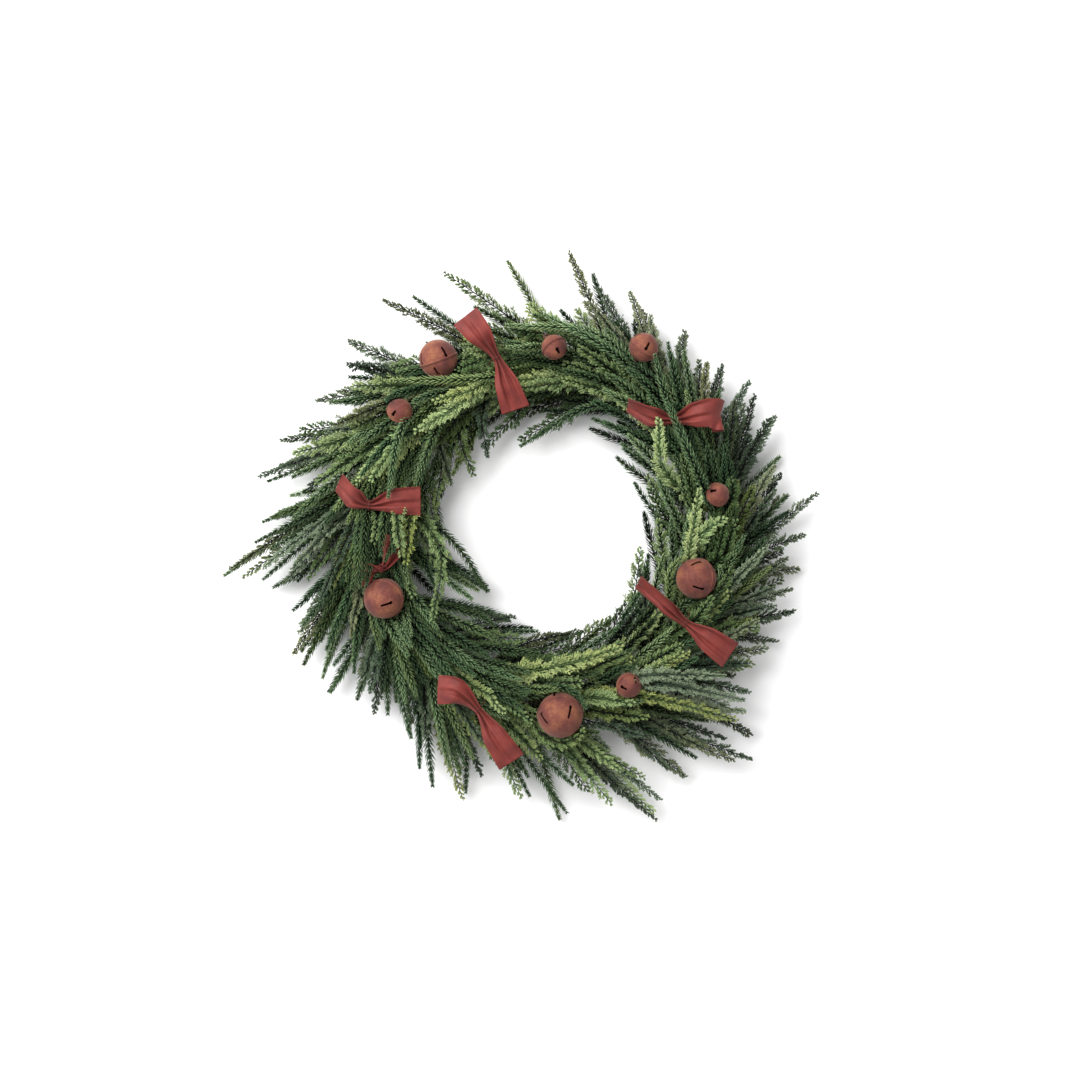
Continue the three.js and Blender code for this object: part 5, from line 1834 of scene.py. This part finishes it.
class WREATH_OT_stage(bpy.types.Operator):
    """Lays the white paper floor and sets the camera straight above, with soft light from the upper left"""

    bl_idname = "wreath.stage"
    bl_label = "Stage"

    def execute(self, context):
        settings = context.scene.wreath_stage
        half = settings.floor_size / 2
        corners = [(-half, -half, 0), (half, -half, 0), (half, half, 0), (-half, half, 0)]
        mesh = bpy.data.meshes.new("floor")
        mesh.from_pydata(corners, [], [(0, 1, 2, 3)])
        mesh.materials.append(floor_material())
        floor = bpy.data.objects.new("floor", mesh)
        context.scene.collection.objects.link(floor)
        camera = bpy.data.objects.new("camera", bpy.data.cameras.new("camera"))
        camera.data.lens = settings.lens
        camera.data.sensor_width = SENSOR
        middle = CAD_BOUNDS[1][2] / 2
        camera.location = (settings.aim[0], settings.aim[1], middle + settings.distance)
        context.scene.collection.objects.link(camera)
        context.scene.camera = camera
        lights = (("key", KEY_PLACE, settings.key_power), ("fill", FILL_PLACE, settings.fill_power))
        for name, place, energy in lights:
            lamp = bpy.data.lights.new(name, "AREA")
            lamp.size, lamp.energy = LIGHT_SIDE, energy
            light = bpy.data.objects.new(name, lamp)
            light.location = place
            light.rotation_euler = (-Vector(place)).to_track_quat("-Z", "Y").to_euler()
            context.scene.collection.objects.link(light)
        world = bpy.data.worlds.new("studio")
        world.use_nodes = True
        background = world.node_tree.nodes["Background"]
        background.inputs["Color"].default_value = linear("#FFFFFF")
        background.inputs["Strength"].default_value = settings.world_light
        context.scene.world = world
        context.scene.view_settings.view_transform = "Standard"
        return {"FINISHED"}


class WREATH_OT_clamp_ring(bpy.types.Operator):
    """Makes the enamelled hoop with its bent clamps"""

    bl_idname = "wreath.clamp_ring"
    bl_label = "Clamp ring"

    def execute(self, context):
        shape = Shape()
        hoop(shape)
        for bunch in range(BUNCHES):
            clamp_strap(shape, bunch)
        mesh = shape.mesh("clamp_ring_enamelled", [enamel_material(context.scene.wreath_ring)])
        mesh.set_sharp_from_angle(angle=RING_EDGE)
        place_piece("clamp_ring_enamelled", mesh, ["clamp_ring"])
        return {"FINISHED"}


class WREATH_OT_greens(bpy.types.Operator):
    """Grows the sprays of every bunch, needle by needle"""

    bl_idname = "wreath.greens"
    bl_label = "Greens"

    def execute(self, context):
        greens = context.scene.wreath_greens
        makers = (pine_material, cedar_material, cypress_material, bark_material)
        materials = [maker(greens) for maker in makers]
        balls = keep_clear_balls()
        sprays = all_sprays()
        for bunch in range(BUNCHES):
            random = np.random.default_rng(NEEDLE_SEED + bunch)
            shape = Shape()
            for spray in sprays:
                if spray["bunch"] == bunch:
                    dressed(spray, shape, random, balls, greens)
            name = f"greens_{bunch + 1:02d}"
            place_piece(name, shape.mesh(name, materials), [f"bunch_{bunch + 1:02d}"])
        return {"FINISHED"}


class WREATH_OT_bells(bpy.types.Operator):
    """Makes the rusted jingle bells with their slots, eyes and pellets"""

    bl_idname = "wreath.bells"
    bl_label = "Bells"

    def execute(self, context):
        settings = context.scene.wreath_bells
        rust, steel = rust_material(settings), steel_material()
        for index, bell in enumerate(BELLS):
            name = f"bell_{index + 1}"
            place_piece(f"{name}_rusted", bell_mesh(index, bell, rust, settings), [name])
            shape = Shape()
            pellet(shape, bell, PELLET_SEED + index)
            mesh = shape.mesh(f"pellet_{index + 1}_round", [steel])
            place_piece(mesh.name, mesh, [f"pellet_{index + 1}"])
        return {"FINISHED"}


class WREATH_OT_ties(bpy.types.Operator):
    """Bends the tie wires of the bells and the ribbons"""

    bl_idname = "wreath.ties"
    bl_label = "Tie wires"

    def execute(self, context):
        steel = bpy.data.materials.get("steel_wire_annealed") or steel_material()
        for kind, ties, finish in (("bell", BELL_TIES, steel), ("ribbon", RIBBON_TIES, wire_material())):
            for index, path in enumerate(ties):
                line = rounded_path(path, TIE_BEND, TIE_BEND_STEPS)
                shape = Shape()
                tube(shape, line, np.full(len(line), TIE_WIRE / 2), TIE_SIDES, 0)
                name = f"{kind}_tie_{index + 1}"
                place_piece(f"{name}_wire", shape.mesh(f"{name}_wire", [finish]), [name])
        return {"FINISHED"}


class WREATH_OT_ribbons(bpy.types.Operator):
    """Makes the ribbons, each one woven strip pleated to its pinch"""

    bl_idname = "wreath.ribbons"
    bl_label = "Ribbons"

    def execute(self, context):
        cloth = ribbon_material(context.scene.wreath_ribbons)
        width = context.scene.wreath_ribbons.width
        for index, stations in enumerate(RIBBONS):
            shape, length = ribbon_sheet(stations, millimetres(width), RIBBON_SEED + index)
            name = f"ribbon_{index + 1}_cloth"
            piece = place_piece(name, shape.mesh(name, [cloth]), [f"ribbon_{index + 1}"])
        return {"FINISHED"}


class WREATH_PT_parts(bpy.types.Panel):
    """Lists the wreath's makers in the 3D view's sidebar"""

    bl_idname = "WREATH_PT_parts"
    bl_label = "Evergreen wreath"
    bl_space_type = "VIEW_3D"
    bl_region_type = "UI"
    bl_category = "Wreath"

    def draw(self, context):
        for group, kind in GROUPS.items():
            box = self.layout.box()
            for name in kind.__annotations__:
                box.prop(getattr(context.scene, group), name)
        for operator in OPERATORS:
            self.layout.operator(operator.bl_idname)


OPERATORS = (
    WREATH_OT_stage,
    WREATH_OT_clamp_ring,
    WREATH_OT_greens,
    WREATH_OT_bells,
    WREATH_OT_ties,
    WREATH_OT_ribbons,
)
CLASSES = (*GROUPS.values(), *OPERATORS, WREATH_PT_parts)


def register():
    for made in CLASSES:
        bpy.utils.register_class(made)
    for name, kind in GROUPS.items():
        setattr(bpy.types.Scene, name, PointerProperty(type=kind))


def unregister():
    for name in GROUPS:
        delattr(bpy.types.Scene, name)
    for made in reversed(CLASSES):
        bpy.utils.unregister_class(made)


def main():
    register()
    for operator in OPERATORS:
        group, name = operator.bl_idname.split(".")
        getattr(getattr(bpy.ops, group), name)()


if __name__ == "__main__":
    main()
